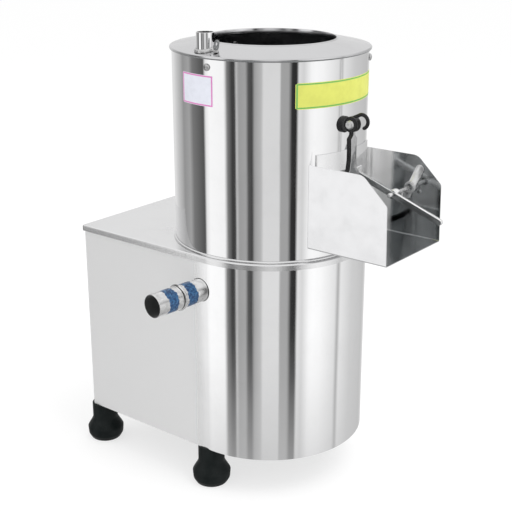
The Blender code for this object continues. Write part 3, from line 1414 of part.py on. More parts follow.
def main():
    screw_holes = panel_screw_holes()
    outlet = outlet_cutter()
    ring_holes = ring_screw_holes()
    make_feet()
    make_foot_bolts()
    make_base_frame()
    make_base_shell(screw_holes)
    make_rear_panel(screw_holes)
    make_panel_screws()
    make_top_plate()
    make_drum_shell(outlet, ring_holes)
    make_drum_foot_ring()
    make_drum_liner(outlet)
    make_top_ring(ring_holes)
    make_ring_screws()
    make_inlet()
    make_tap()
    make_pan()
    make_drain()
    make_chute()
    make_gate_plate()
    make_gate_hanger()
    make_lever_bar()
    make_slide_bolt()
    make_keeper()
    make_bracket()
    make_pivot_bolt()
    make_disc()
    make_dome_nut()
    make_shaft()
    make_bearings()
    make_pulleys()
    make_belt()
    make_motor()
    make_shelf()
    make_terminal_box()
    make_gland()
    make_switch()


main()
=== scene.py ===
"""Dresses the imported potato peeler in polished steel, rubber and abrasive, in a plain pale studio.

Lengths are metres. Sizes are given from the drum's upright axis, with the chute along +X, and each
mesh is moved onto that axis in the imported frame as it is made.
"""

import logging
from collections.abc import Callable, Sequence
from dataclasses import dataclass
from enum import Enum
from functools import cache
from math import acos, asin, atan2, cos, hypot, pi, radians, sin, sqrt, tan

import bmesh
import bpy
from bmesh.types import BMesh
from bpy.types import ID, Material, Mesh, Node, NodeSocket, NodeTree, Object
from mathutils import Matrix, Vector


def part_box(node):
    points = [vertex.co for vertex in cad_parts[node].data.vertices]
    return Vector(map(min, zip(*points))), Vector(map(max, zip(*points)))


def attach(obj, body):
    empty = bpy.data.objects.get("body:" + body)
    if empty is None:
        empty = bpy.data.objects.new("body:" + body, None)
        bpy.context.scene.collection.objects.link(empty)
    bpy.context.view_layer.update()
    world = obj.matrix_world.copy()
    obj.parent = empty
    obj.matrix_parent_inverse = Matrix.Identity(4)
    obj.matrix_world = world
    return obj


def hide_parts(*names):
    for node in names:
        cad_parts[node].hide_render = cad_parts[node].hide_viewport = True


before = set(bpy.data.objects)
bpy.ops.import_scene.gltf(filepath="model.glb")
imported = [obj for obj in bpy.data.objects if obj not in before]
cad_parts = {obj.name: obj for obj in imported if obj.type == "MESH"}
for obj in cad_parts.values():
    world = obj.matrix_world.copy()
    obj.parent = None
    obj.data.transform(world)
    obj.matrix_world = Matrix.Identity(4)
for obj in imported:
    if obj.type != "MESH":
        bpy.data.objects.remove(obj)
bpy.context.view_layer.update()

Point = tuple[float, float]
Place = tuple[float, float, float]
Cards = tuple[Point, ...]

GAP = 0.0003
SUPPORT = 0.0003
WELD = 0.000005
ROUND_STEPS = 192
PIPE_STEPS = 72
SHARP = radians(32)
BLUNT = radians(45)
SOFT = radians(60)

# Places that several sub-assemblies share, from the drum's axis
INLET_RADIUS = 0.159
INLET_ANGLE = radians(-97.3)
DRAIN_ANGLE = radians(-95.5)
DRAIN_HEIGHT = 0.4055
PIVOT = (0.200, -0.026, 0.7160)
PIVOT_BORE = 0.0044
BOLT_X = 0.2555
SWITCH = (0.105, 0.395)
GLAND = (-0.105, 0.130)
DRUM_FACE = 0.1808

# Turns that lay a flat outline across the machine, or along it with its face to the front
ON_SIDE = Matrix.Rotation(pi / 2, 4, "X")
FACING = Matrix(((0, 0, 1, 0), (1, 0, 0, 0), (0, 1, 0, 0), (0, 0, 0, 1)))
move = Matrix.Translation

log = logging.getLogger("potato_peeler")


def drum_axis() -> Vector:
    """Reads where the drum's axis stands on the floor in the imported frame."""
    low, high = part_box("drum_shell")
    return Vector(((low.x + high.x) / 2, (low.y + high.y) / 2, 0))


AXIS = drum_axis()


class Body(str, Enum):
    """The moving bodies that a piece can ride on."""

    MACHINE = "machine"
    GATE = "gate"
    LATCH = "latch"
    DISC = "disc"
    SWITCH = "switch"
    TAP = "tap"


class Slot(str, Enum):
    """The record's material slots."""

    POLISHED = "polished_steel"
    SATIN = "satin_steel"
    MACHINED = "machined_steel"
    RUBBER = "black_rubber"
    IRON = "black_iron"
    ABRASIVE = "black_abrasive"
    PLASTIC = "dark_plastic"


def spread(start: float, stop: float, steps: int) -> list[float]:
    """Even steps from one value to another, both included."""
    return [start + (stop - start) * step / steps for step in range(steps + 1)]


def circle(steps: int) -> list[float]:
    """Even angles once round."""
    return [2 * pi * step / steps for step in range(steps)]


def arc(centre: Point, radius: float, start: float, stop: float, steps: int) -> list[Point]:
    """Points of a flat arc from one angle, in radians, to another, both ends included."""
    return [(centre[0] + radius * cos(turn), centre[1] + radius * sin(turn)) for turn in spread(start, stop, steps)]


def rounded(corners: Sequence[Place], steps: int = 5, closed: bool = True) -> list[Point]:
    """Rounds the corners of a flat outline, with a supporting point before and after each round.

    Args:
        corners: Each corner's two coordinates and the radius of its round, or 0 to keep it sharp.
        steps: Chords in each round.
        closed: Whether the last corner joins the first.

    Returns:
        The outline's points.
    """
    points: list[Point] = []
    count = len(corners)
    for number, (x, y, radius) in enumerate(corners):
        if radius <= 0 or (not closed and number in (0, count - 1)):
            points.append((x, y))
            continue
        here = Vector((x, y))
        before = (Vector(corners[number - 1][:2]) - here).normalized()
        after = (Vector(corners[(number + 1) % count][:2]) - here).normalized()
        half = before.angle(after) / 2
        reach = radius / tan(half)
        middle = here + (before + after).normalized() * (radius / sin(half))
        start, stop = here + before * reach, here + after * reach
        first = atan2(start.y - middle.y, start.x - middle.x)
        sweep = (atan2(stop.y - middle.y, stop.x - middle.x) - first + pi) % (2 * pi) - pi
        points.append(tuple(start + before * SUPPORT))
        points += arc(tuple(middle), radius, first, first + sweep, steps)
        points.append(tuple(stop + after * SUPPORT))
    return points


def box_outline(left: float, low: float, right: float, high: float, lower: float, upper: float,
                steps: int = 5) -> list[Point]:
    """A rectangle's outline, with one radius for its lower corners and one for its upper ones."""
    return rounded([(left, low, lower), (right, low, lower), (right, high, upper), (left, high, upper)], steps)


def rounded_slot(right: float, left: float, radius: float, steps: int) -> list[Point]:
    """The outline of a level slot or link, with a half circle about each end."""
    return [*arc((right, 0), radius, -pi / 2, pi / 2, steps), *arc((left, 0), radius, pi / 2, 3 * pi / 2, steps)]


def corner_cut(edge: float, corner: float) -> float:
    """How far a rounded corner draws a sheet in, at a distance from the sheet's end."""
    return corner - sqrt(max(0.0, corner ** 2 - (corner - edge) ** 2)) if edge < corner else 0.0


def cone_height(radius: float) -> float:
    """Height of the top ring's upper face at a distance from the axis."""
    return 0.8342 + 0.0133 * (0.1817 - radius) / 0.0618


def polar(radius: float, angle: float, height: float = 0.0) -> Vector:
    """A place at a distance and an angle, in radians, from the drum's axis."""
    return Vector((radius * cos(angle), radius * sin(angle), height))


def lying(angle: float, height: float, start: Point = (0.0, 0.0)) -> Matrix:
    """Turns an upright axis to point level at an angle, from a place above the floor."""
    return move((*start, height)) @ Matrix.Rotation(angle, 4, "Z") @ Matrix.Rotation(pi / 2, 4, "Y")


DRAIN_AXIS = lying(DRAIN_ANGLE, DRAIN_HEIGHT)
PIVOT_AXIS = move(PIVOT) @ ON_SIDE


def linked(name: str, data: ID) -> Object:
    """Puts an object that holds some data in the scene.

    Args:
        name: The object's name.
        data: What it holds.

    Returns:
        The object.
    """
    obj = bpy.data.objects.new(name, data)
    bpy.context.scene.collection.objects.link(obj)
    return obj


def dropped(holder: Object) -> None:
    """Removes an object and what it holds.

    Args:
        holder: The object.
    """
    data = holder.data
    bpy.data.objects.remove(holder, do_unlink=True)
    (bpy.data.meshes if isinstance(data, Mesh) else bpy.data.curves).remove(data)


def taken(holder: Object) -> Mesh:
    """Takes an object's evaluated mesh, and removes the object.

    Args:
        holder: The object, with its modifiers.

    Returns:
        The mesh.
    """
    graph = bpy.context.evaluated_depsgraph_get()
    made = bpy.data.meshes.new_from_object(holder.evaluated_get(graph), depsgraph=graph)
    dropped(holder)
    return made


def smoothed(mesh: Mesh, sharp: float = SHARP) -> Mesh:
    """Shades a mesh smooth, apart from edges that turn more than an angle.

    Args:
        mesh: The mesh.
        sharp: The angle.

    Returns:
        The same mesh.
    """
    mesh.shade_smooth()
    mesh.set_sharp_from_angle(angle=sharp)
    return mesh


def to_mesh(shape: BMesh, matrix: Matrix | None = None, outwards: bool = True, sharp: float = SHARP) -> Mesh:
    """Closes a shape's doubles, turns its faces out and makes it a mesh on the drum's axis.

    Args:
        shape: The shape, which is freed.
        matrix: Where the shape goes, from the drum's axis.
        outwards: Whether the faces are turned outwards here.
        sharp: Edges that turn more than this stay sharp.

    Returns:
        The finished mesh.
    """
    bmesh.ops.remove_doubles(shape, verts=shape.verts, dist=WELD)
    bmesh.ops.transform(shape, matrix=move(AXIS) @ (matrix or Matrix()), verts=shape.verts)
    if outwards:
        bmesh.ops.recalc_face_normals(shape, faces=shape.faces)
    mesh = bpy.data.meshes.new("part")
    shape.to_mesh(mesh)
    shape.free()
    return smoothed(mesh, sharp)


def grid(sections: Sequence[Sequence[Sequence[float]]], around: bool = True, along: bool = False,
         capped: bool = False) -> BMesh:
    """A skin through matching sections.

    Args:
        sections: Rows of points, with as many in each.
        around: Whether each row closes on itself.
        along: Whether the last row joins the first.
        capped: Whether the first and the last row are filled.

    Returns:
        The shape.
    """
    shape = bmesh.new()
    rows = [[shape.verts.new(point) for point in section] for section in sections]
    if along:
        rows.append(rows[0])
    count = len(rows[0])
    for low, high in zip(rows, rows[1:]):
        for here in range(count if around else count - 1):
            there = (here + 1) % count
            shape.faces.new((low[here], low[there], high[there], high[here]))
    if capped:
        shape.faces.new(rows[0])
        shape.faces.new(rows[-1])
    return shape


def lathe(profile: Sequence[Point], matrix: Matrix | None = None, steps: int = ROUND_STEPS, ring: bool = False,
          sharp: float = SHARP) -> Mesh:
    """A solid of revolution about the upright axis.

    Args:
        profile: Radius and height of each point of the section.
        matrix: Where the solid goes.
        steps: Facets round it.
        ring: Whether the section is a closed loop, off the axis.
        sharp: Edges that turn more than this stay sharp.

    Returns:
        The mesh.
    """
    shape = grid([[(radius * cos(turn), radius * sin(turn), height) for turn in circle(steps)]
                  for radius, height in profile], along=ring)
    bmesh.ops.remove_doubles(shape, verts=shape.verts, dist=WELD)
    loose = [face for face in shape.faces if face.calc_area() < WELD * WELD]
    bmesh.ops.delete(shape, geom=loose, context="FACES_ONLY")
    return to_mesh(shape, matrix, sharp=sharp)


def tube_section(radius: float, wall: float, bottom: float, top: float, edge: float = 0.0004) -> list[Point]:
    """The closed section of a straight tube with its end edges eased."""
    inner = radius - wall
    return rounded([(radius, top, edge), (radius, bottom, edge), (inner, bottom, edge), (inner, top, edge)], 3)


def button(radius: float, low: float, high: float, lower: float, upper: float, steps: int = 4) -> list[Point]:
    """The section of a short round bar, from the axis, with a round at each end."""
    return rounded([(0, high, 0), (radius, high, upper), (radius, low, lower), (0, low, 0)], steps, closed=False)


def plug(radius: float, low: float, high: float) -> list[Point]:
    """The section of a plain round bar."""
    return [(0, high), (radius, high), (radius, low), (0, low)]


def block(centre: Place, size: Place) -> Mesh:
    """A plain block, given by its middle and its three sizes.

    Args:
        centre: Its middle, from the drum's axis.
        size: Its three sides.

    Returns:
        The block.
    """
    shape = bmesh.new()
    bmesh.ops.create_cube(shape, size=1.0)
    return to_mesh(shape, move(centre) @ Matrix.Diagonal((*size, 1)))


def core(radius: float = DRUM_FACE) -> Mesh:
    """A solid drum, as a cutter that trims what stands on the real one."""
    return lathe(plug(radius, 0.47, 0.83))


def drill(radius: float, start: float, stop: float, matrix: Matrix, steps: int = PIPE_STEPS) -> Mesh:
    """A round cutter along an axis."""
    return lathe(plug(radius, start, stop), matrix, steps)


def modified(mesh: Mesh, kind: str, inputs: dict | None = None, **settings: object) -> Mesh:
    """Puts one modifier on a mesh and takes the result.

    Args:
        mesh: The mesh to change, which is used up.
        kind: The modifier's type.
        inputs: Values for a Geometry Nodes tree's inputs, by name.
        settings: The modifier's own settings.

    Returns:
        The changed mesh.
    """
    holder = linked("holder", mesh)
    change = holder.modifiers.new("Change", kind)
    for name, value in settings.items():
        setattr(change, name, value)
    for item in change.node_group.interface.items_tree if inputs else ():
        if item.in_out == "INPUT" and item.name in inputs:
            change[item.identifier] = inputs[item.name]
    return taken(holder)


def combined(operation: str, mesh: Mesh, tools: Sequence[Mesh], sharp: float) -> Mesh:
    """Joins meshes to one, or cuts them out of it, one after the other, and uses them up.

    Args:
        operation: The boolean's kind.
        mesh: The mesh to change.
        tools: The other meshes.
        sharp: Edges that turn more than this stay sharp.

    Returns:
        The result.
    """
    for tool in tools:
        holder = linked("tool", tool)
        mesh = smoothed(modified(mesh, "BOOLEAN", operation=operation, solver="EXACT", object=holder), sharp)
        dropped(holder)
    return mesh


def cut(mesh: Mesh, *tools: Mesh, sharp: float = SHARP) -> Mesh:
    """Cuts other meshes out of one."""
    return combined("DIFFERENCE", mesh, tools, sharp)


def joined(mesh: Mesh, *tools: Mesh, sharp: float = BLUNT) -> Mesh:
    """Joins other meshes to one."""
    return combined("UNION", mesh, tools, sharp)


def evened(mesh: Mesh) -> Mesh:
    """Lets a mesh's large flat faces keep their own normals beside small rounds."""
    return modified(mesh, "WEIGHTED_NORMAL", mode="FACE_AREA", weight=100, keep_sharp=True)


def eased(mesh: Mesh, width: float, segments: int = 2, limit: float = radians(40)) -> Mesh:
    """Rounds a mesh's edges that turn more than a limit, with some faces across each round.

    Args:
        mesh: The mesh to change.
        width: How far each edge is rounded.
        segments: Faces across each round.
        limit: The least turn that is rounded.

    Returns:
        The rounded mesh.
    """
    made = modified(mesh, "BEVEL", width=width, segments=segments, limit_method="ANGLE", angle_limit=limit,
                    use_clamp_overlap=True, miter_outer="MITER_ARC")
    return evened(smoothed(made, radians(50)))


def thickened(shape: BMesh, wall: float) -> Mesh:
    """Gives a skin its wall, on the side that its faces turn their backs to."""
    skin = to_mesh(shape, outwards=False)
    return smoothed(modified(skin, "SOLIDIFY", thickness=wall, offset=-1, use_even_offset=True))


def from_curve(lines: Sequence[Sequence[Sequence[float]]], matrix: Matrix, tapers: Sequence[float] = (),
               **settings: object) -> Mesh:
    """Makes a curve a closed mesh on the drum's axis.

    Args:
        lines: The points of each of its lines, which are closed where the curve is flat.
        matrix: Where it goes.
        tapers: Share of the thickness at each point, or nothing for a plain curve.
        settings: The curve's own settings.

    Returns:
        The mesh.
    """
    curve = bpy.data.curves.new("outline", "CURVE")
    for key, value in settings.items():
        setattr(curve, key, value)
    for line in lines:
        spline = curve.splines.new("POLY")
        spline.points.add(len(line) - 1)
        for point, place, taper in zip(spline.points, line, tapers or [1.0] * len(line)):
            point.co = (*place, 1)
            point.radius = taper
        spline.use_cyclic_u = curve.dimensions == "2D"
    made = taken(linked("holder", curve))
    shape = bmesh.new()
    shape.from_mesh(made)
    bpy.data.meshes.remove(made)
    return to_mesh(shape, matrix)


def plate(outlines: Sequence[Sequence[Point]], thickness: float, matrix: Matrix, edge: float) -> Mesh:
    """A flat plate with holes and eased edges.

    Args:
        outlines: The edge first, then each hole.
        thickness: Its thickness, centred on its plane.
        matrix: Where the plate goes.
        edge: How far its edges are rounded.

    Returns:
        The mesh.
    """
    lines = [[(x, y, 0) for x, y in outline] for outline in outlines]
    return evened(from_curve(lines, matrix, dimensions="2D", fill_mode="BOTH", bevel_depth=edge,
                             bevel_resolution=1, offset=-edge, extrude=thickness / 2 - edge))


class Tree:
    """Adds and links the nodes of one tree."""

    def __init__(self, tree: NodeTree) -> None:
        """Keeps the tree that the nodes go into."""
        self.tree = tree

    def feed(self, node: Node, inputs: dict) -> Node:
        """Gives a node's inputs, by name or number, their values or links.

        Args:
            node: The node.
            inputs: Values or sockets, by name or number.

        Returns:
            The same node.
        """
        for key, value in inputs.items():
            if isinstance(value, NodeSocket):
                self.tree.links.new(value, node.inputs[key])
            else:
                node.inputs[key].default_value = value
        return node

    def add(self, kind: str, inputs: dict | None = None, **settings: object) -> Node:
        """Adds a node with its inputs and its own settings.

        Args:
            kind: The node's type.
            inputs: Values or sockets, by name or number.
            settings: The node's own settings.

        Returns:
            The node.
        """
        node = self.tree.nodes.new(kind)
        for name, value in settings.items():
            setattr(node, name, value)
        return self.feed(node, inputs or {})

    def out(self, kind: str, inputs: dict | None = None, port: int | str = 0, **settings: object) -> NodeSocket:
        """Adds a node and gives one of its outputs."""
        return self.add(kind, inputs, **settings).outputs[port]

    def math(self, operation: str, first: object, second: object = 0.0) -> NodeSocket:
        """One sum of two values or sockets."""
        return self.out("ShaderNodeMath", {0: first, 1: second}, operation=operation)

    def times(self, first: object, second: object) -> NodeSocket:
        """One value times another."""
        return self.math("MULTIPLY", first, second)

    def less(self, first: object, second: object) -> NodeSocket:
        """One value less another."""
        return self.math("SUBTRACT", first, second)

    def plus(self, first: object, second: object) -> NodeSocket:
        """One value and another."""
        return self.math("ADD", first, second)

    def ranged(self, value: NodeSocket, low: float, high: float, to_low: float = 0.0,
               to_high: float = 1.0) -> NodeSocket:
        """Maps a value from one range to another, clamped, easing in and out."""
        inputs = {"Value": value, "From Min": low, "From Max": high, "To Min": to_low, "To Max": to_high}
        return self.out("ShaderNodeMapRange", inputs, "Result", interpolation_type="SMOOTHSTEP")

    def blend(self, share: object, first: object, second: object) -> NodeSocket:
        """Mixes two colours."""
        return self.out("ShaderNodeMix", {0: share, 6: first, 7: second}, 2, data_type="RGBA", clamp_factor=True)

    def noise(self, vector: NodeSocket, scale: object, detail: float, roughness: float = 0.6) -> NodeSocket:
        """The value of a noise at a place."""
        return self.out("ShaderNodeTexNoise", {"Vector": vector, "Scale": scale, "Detail": detail,
                                               "Roughness": roughness}, "Fac")

    def split(self, vector: NodeSocket) -> bpy.types.NodeOutputs:
        """The three parts of a vector."""
        return self.add("ShaderNodeSeparateXYZ", {0: vector}).outputs

    def place(self, kind: str = "Object") -> NodeSocket:
        """The place that is shaded, in the object's own coordinates or another kind."""
        return self.out("ShaderNodeTexCoord", port=kind)

    def shared(self, group: NodeTree, finish: object) -> bpy.types.NodeOutputs:
        """Adds a shared group, whose inputs are named after the finish's fields.

        Args:
            group: The group's tree.
            finish: The finish.

        Returns:
            The group node's outputs.
        """
        labels = [item.name for item in group.interface.items_tree if item.in_out == "INPUT"]
        values = {label: getattr(finish, label) for label in labels}
        return self.add("ShaderNodeGroup", values, node_tree=group).outputs

    def surface(self, colour: NodeSocket, rough: NodeSocket, height: NodeSocket, relief: float,
                others: dict | None = None, strength: float = 1.0) -> None:
        """Feeds a material's Principled shader.

        Args:
            colour: Its colour.
            rough: Its roughness.
            height: The height of its bumps.
            relief: How far the bumps stand out.
            others: Other inputs by name.
            strength: Share of the bumps that is used.
        """
        normal = self.out("ShaderNodeBump", {"Height": height, "Strength": strength, "Distance": relief})
        self.feed(self.tree.nodes["Principled BSDF"],
                  {"Base Color": colour, "Roughness": rough, "Normal": normal, **(others or {})})


def grey(level: float) -> tuple[float, float, float, float]:
    """A neutral colour."""
    return (level, level, level, 1.0)


def new_group(name: str, kind: str, inputs: dict[str, float | str],
              outputs: Sequence[str]) -> tuple[Tree, bpy.types.NodeOutputs]:
    """Starts a node group.

    Args:
        name: The group's name.
        kind: Shader or Geometry.
        inputs: Each input's usual value, or its type where it isn't a plain value, by name.
        outputs: Each output's name.

    Returns:
        The group's tree helper and its inputs, as sockets to take from.
    """
    group = bpy.data.node_groups.new(name, f"{kind}NodeTree")
    for label, given in inputs.items():
        plain = not isinstance(given, str)
        socket_type = f"NodeSocket{'Float' if plain else given}"
        socket = group.interface.new_socket(label, in_out="INPUT", socket_type=socket_type)
        if plain:
            socket.default_value = given
    for label in outputs:
        socket_type = "NodeSocketFloat" if kind == "Shader" else "NodeSocketGeometry"
        group.interface.new_socket(label, in_out="OUTPUT", socket_type=socket_type)
    tree = Tree(group)
    return tree, tree.add("NodeGroupInput").outputs


@cache
def sheet_group() -> NodeTree:
    """Rolled and pressed sheet: slow waves, fine rolling lines, smears and small scratches.

    Returns:
        The group's tree.
    """
    tree, given = new_group("sheet_metal", "Shader", {"wave_size": 9.0, "wave_height": 0.5, "line_size": 900.0,
                            "line_height": 0.1, "upright": 1.0, "smear_size": 14.0}, ["Height", "Smear"])
    squash = 0.985
    place = tree.place()
    slow = tree.noise(place, given["wave_size"], 1.0, 0.4)
    level = tree.less(1.0, tree.times(tree.less(1.0, given["upright"]), squash))
    squeeze = tree.less(1.0, tree.times(given["upright"], squash))
    parts = tree.split(place)
    lined = tree.out("ShaderNodeCombineXYZ", {
        axis: tree.times(parts[axis], share) for axis, share in (("X", level), ("Y", level), ("Z", squeeze))})
    lines = tree.noise(lined, given["line_size"], 2.0)
    scratch = tree.noise(lined, tree.times(given["line_size"], 0.21), 4.0, 0.75)
    height = tree.plus(tree.times(slow, given["wave_height"]), tree.times(lines, given["line_height"]))
    height = tree.less(height, tree.times(tree.ranged(scratch, 0.64, 0.74), tree.times(given["line_height"], 0.6)))
    smear = tree.ranged(tree.noise(place, given["smear_size"], 5.0, 0.62), 0.42, 0.68)
    fine = tree.ranged(tree.noise(place, tree.times(given["smear_size"], 6.0), 3.0), 0.45, 0.75)
    tree.add("NodeGroupOutput", {"Height": height, "Smear": tree.plus(tree.times(smear, 0.7), tree.times(fine, 0.3))})
    return tree.tree


@cache
def worn_group() -> NodeTree:
    """Cast, moulded or painted skin: a fine stipple, dull patches and dust that lies on upper faces.

    Returns:
        The group's tree.
    """
    tree, given = new_group("worn_skin", "Shader", {"stipple_size": 600.0, "stipple_height": 0.4, "patch_size": 30.0},
                            ["Height", "Patch", "Dust"])
    place = tree.place()
    stipple = tree.noise(place, given["stipple_size"], 3.0)
    patch = tree.ranged(tree.noise(place, given["patch_size"], 4.0), 0.35, 0.7)
    speck = tree.noise(place, tree.times(given["patch_size"], 9.0), 4.0, 0.7)
    upward = tree.split(tree.out("ShaderNodeNewGeometry", port="Normal"))["Z"]
    dust = tree.times(tree.ranged(upward, 0.2, 1.0), tree.ranged(speck, 0.45, 0.7))
    tree.add("NodeGroupOutput", {"Height": tree.times(stipple, given["stipple_height"]), "Patch": patch, "Dust": dust})
    return tree.tree


@dataclass(frozen=True)
class Steel:
    """A bare steel finish on sheet, tube or bar."""

    name: str
    colour: Place = (0.90, 0.90, 0.905)
    gloss: float = 0.035
    dulled: float = 0.075
    wave_size: float = 5.0
    wave_height: float = 0.5
    line_size: float = 900.0
    line_height: float = 0.006
    upright: float = 1.0
    smear_size: float = 9.0
    relief: float = 0.0016
    stain: float = 0.035
    mill: float = 0.0
    mill_end: float = 0.0
    mill_fade: float = 0.075
    matt: float = 0.0
    pale: float = 0.95

    def paint(self, tree: Tree) -> None:
        """Fills the material's tree, with a milled and matt share towards -X where there is one.

        Args:
            tree: The material's tree, to be filled.
        """
        sheet = tree.shared(sheet_group(), self)
        smear = sheet["Smear"]
        tint = tree.blend(smear, (*self.colour, 1), (*(channel * (1 - self.stain) for channel in self.colour), 1))
        rough = tree.ranged(smear, 0.0, 1.0, self.gloss, self.dulled)
        metallic: NodeSocket | float = 1.0 - self.matt
        if self.mill:
            end = AXIS.x + self.mill_end
            flat = tree.ranged(tree.split(tree.place())["X"], end - self.mill_fade, end, 1.0, 0.0)
            tint = tree.blend(flat, tint, grey(self.pale))
            rough = tree.plus(rough, tree.times(flat, self.mill))
            metallic = tree.ranged(flat, 0.0, 1.0, 1.0, metallic)
        tree.surface(tint, rough, sheet["Height"], self.relief, {"Metallic": metallic})


@dataclass(frozen=True)
class Skin:
    """A rubber, iron, paint or plastic finish."""

    name: str
    colour: Place
    worn: Place
    gloss: float = 0.45
    dulled: float = 0.65
    dust: float = 0.25
    stipple_size: float = 600.0
    stipple_height: float = 0.4
    patch_size: float = 30.0
    relief: float = 0.0003
    specular: float = 0.5

    def paint(self, tree: Tree) -> None:
        """Fills the material's tree.

        Args:
            tree: The material's tree, to be filled.
        """
        skin = tree.shared(worn_group(), self)
        colour = tree.blend(skin["Patch"], (*self.colour, 1), (*self.worn, 1))
        tree.surface(tree.blend(tree.times(skin["Dust"], self.dust), colour, (0.42, 0.41, 0.39, 1)),
                     tree.ranged(skin["Patch"], 0.0, 1.0, self.gloss, self.dulled), skin["Height"], self.relief,
                     {"Specular IOR Level": self.specular})


@dataclass(frozen=True)
class Grit:
    """Abrasive grain bonded in black resin, with grains worn bright where the load rubs."""

    name: str
    colour: Place = (0.006, 0.007, 0.008)
    grain: Place = (0.040, 0.045, 0.047)
    grain_size: float = 420.0
    relief: float = 0.0009
    roughness: float = 0.62
    specular: float = 0.12

    def paint(self, tree: Tree) -> None:
        """Fills the material's tree.

        Args:
            tree: The material's tree, to be filled.
        """
        place = tree.place()
        cells = tree.add("ShaderNodeTexVoronoi", {"Vector": place, "Scale": self.grain_size}, feature="F1").outputs
        patch = tree.noise(place, 18.0, 4.0)
        chip = tree.split(cells["Color"])["X"]
        bright = tree.times(tree.ranged(chip, 0.6, 1.0), tree.ranged(patch, 0.35, 0.7, 0.25, 1.0))
        tree.surface(tree.blend(bright, (*self.colour, 1), (*self.grain, 1)),
                     tree.ranged(patch, 0.3, 0.7, self.roughness, self.roughness + 0.25),
                     tree.times(tree.less(1.0, cells["Distance"]), chip), self.relief,
                     {"Specular IOR Level": self.specular})


@dataclass(frozen=True)
class Printed:
    """A printed sheet with nothing on it but a coloured line near its edge.

    The line stands from the ends by a share of the width, and from the upper and lower edge by a share
    of the height. Its width is a share of the height too.
    """

    name: str
    face: Place
    line: Place
    side: float
    width: float
    margin: float

    def paint(self, tree: Tree) -> None:
        """Fills the material's tree.

        Args:
            tree: The material's tree, to be filled.
        """
        soft, tall = 0.012, 0.09
        parts, place = tree.split(tree.place("UV")), tree.place()
        across, upward = (tree.math("MINIMUM", parts[axis], tree.less(1.0, parts[axis])) for axis in "XY")
        nearest = tree.math("MINIMUM", tree.times(across, tall / self.side), upward)
        end = self.margin + self.width
        band = tree.times(tree.ranged(nearest, self.margin - soft, self.margin),
                          tree.ranged(nearest, end, end + soft, 1.0, 0.0))
        fade = tree.noise(place, 55.0, 4.0)
        plain = tree.blend(tree.ranged(fade, 0.35, 0.7), (*self.face, 1), (*(part * 0.93 for part in self.face), 1))
        tree.surface(tree.blend(band, plain, (*self.line, 1)), tree.ranged(fade, 0.3, 0.7, 0.42, 0.55),
                     tree.noise(place, 260.0, 2.0, 0.5), 0.0001, {"Specular IOR Level": 0.25}, 0.5)


@dataclass(frozen=True)
class Film:
    """Thin blue protective film with wrinkles and pale stretched places."""

    name: str
    deep: Place
    stretched: Place

    def paint(self, tree: Tree) -> None:
        """Fills the material's tree.

        Args:
            tree: The material's tree, to be filled.
        """
        place = tree.place()
        pull = tree.noise(place, 210.0, 5.0, 0.75)
        tree.surface(tree.blend(tree.ranged(pull, 0.35, 0.7), (*self.deep, 1), (*self.stretched, 1)),
                     tree.ranged(pull, 0.3, 0.7, 0.16, 0.34), tree.noise(place, 420.0, 3.0), 0.0003)


Finish = Steel | Skin | Grit | Printed | Film


@cache
def made_of(finish: Finish) -> Material:
    """The material of a finish, made when it is first wanted.

    Args:
        finish: The finish.

    Returns:
        The material.
    """
    material = bpy.data.materials.new(finish.name)
    material.use_nodes = True
    finish.paint(Tree(material.node_tree))
    return material


POLISHED = Steel("polished_sheet")
POLISHED_PIPE = Steel("polished_pipe", wave_height=0.1, wave_size=22.0, smear_size=40.0, line_size=1500.0)
PIPE_STEEL = Steel("drain_steel", (0.86, 0.86, 0.86), 0.12, 0.24, 30.0, 0.15, 1600.0, 0.03, smear_size=120.0,
                   stain=0.22)
SATIN = Steel("satin_sheet", (0.86, 0.86, 0.865), 0.22, 0.28, line_height=0.04, wave_height=0.4)
BAR_STEEL = Steel("bar_steel", (0.92, 0.92, 0.925), 0.18, 0.28, 50.0, 0.1, smear_size=60.0, stain=0.15, matt=0.14)
LINK_STEEL = Steel("link_steel", (0.74, 0.74, 0.745), 0.16, 0.26, 60.0, 0.10, smear_size=80.0, stain=0.3, matt=0.28)
GATE_SHEET = Steel("gate_sheet", gloss=0.20, dulled=0.28, wave_height=0.3)
BASE_SHEET = Steel("base_sheet", (0.96, 0.96, 0.965), 0.05, 0.08, wave_height=0.35, mill=0.42, mill_end=0.008,
                   matt=0.32)
SATIN_RING = Steel("satin_ring", (0.69, 0.69, 0.70), 0.14, 0.24, upright=0.0, line_height=0.04, wave_height=0.2)
MACHINED = Steel("machined_steel", (0.66, 0.66, 0.66), 0.24, 0.38, line_size=2400.0, line_height=0.08,
                 wave_height=0.0, smear_size=60.0, stain=0.25)
STRAP_STEEL = Steel("strap_steel", (0.60, 0.60, 0.605), 0.10, 0.20, 40.0, 0.05, smear_size=70.0, stain=0.12)
# Dark steel of the tap's lever, also put on the top ring's bead underside and the lever bar's near face as painted
# shade.
TAP_STEEL_AND_PAINTED_SHADE = Steel("tap_steel_and_painted_shade", (0.31, 0.32, 0.325), 0.12, 0.26, 60.0, 0.05, smear_size=80.0, stain=0.4, matt=0.22)
CHUTE_SHEET = Steel("chute_sheet", (0.85, 0.85, 0.86), 0.10, 0.20, wave_height=0.4, smear_size=5.0, stain=0.10)
# Darker steel for the chute's inside floor and inner cheeks than for its outside: painted shade. The cheeks turn paler
# and matt towards the drum.
CHUTE_INSIDE_PAINTED_SHADE = Steel("chute_inside_painted_shade", (0.42, 0.435, 0.44), 0.07, 0.12, wave_height=0.8, stain=0.35)
CHUTE_CHEEK_PAINTED_SHADE = Steel("chute_cheek_painted_shade", (0.45, 0.465, 0.47), 0.07, 0.12, wave_height=0.8, stain=0.35, mill=0.15,
                    mill_end=0.222, mill_fade=0.014, matt=0.60, pale=0.90)
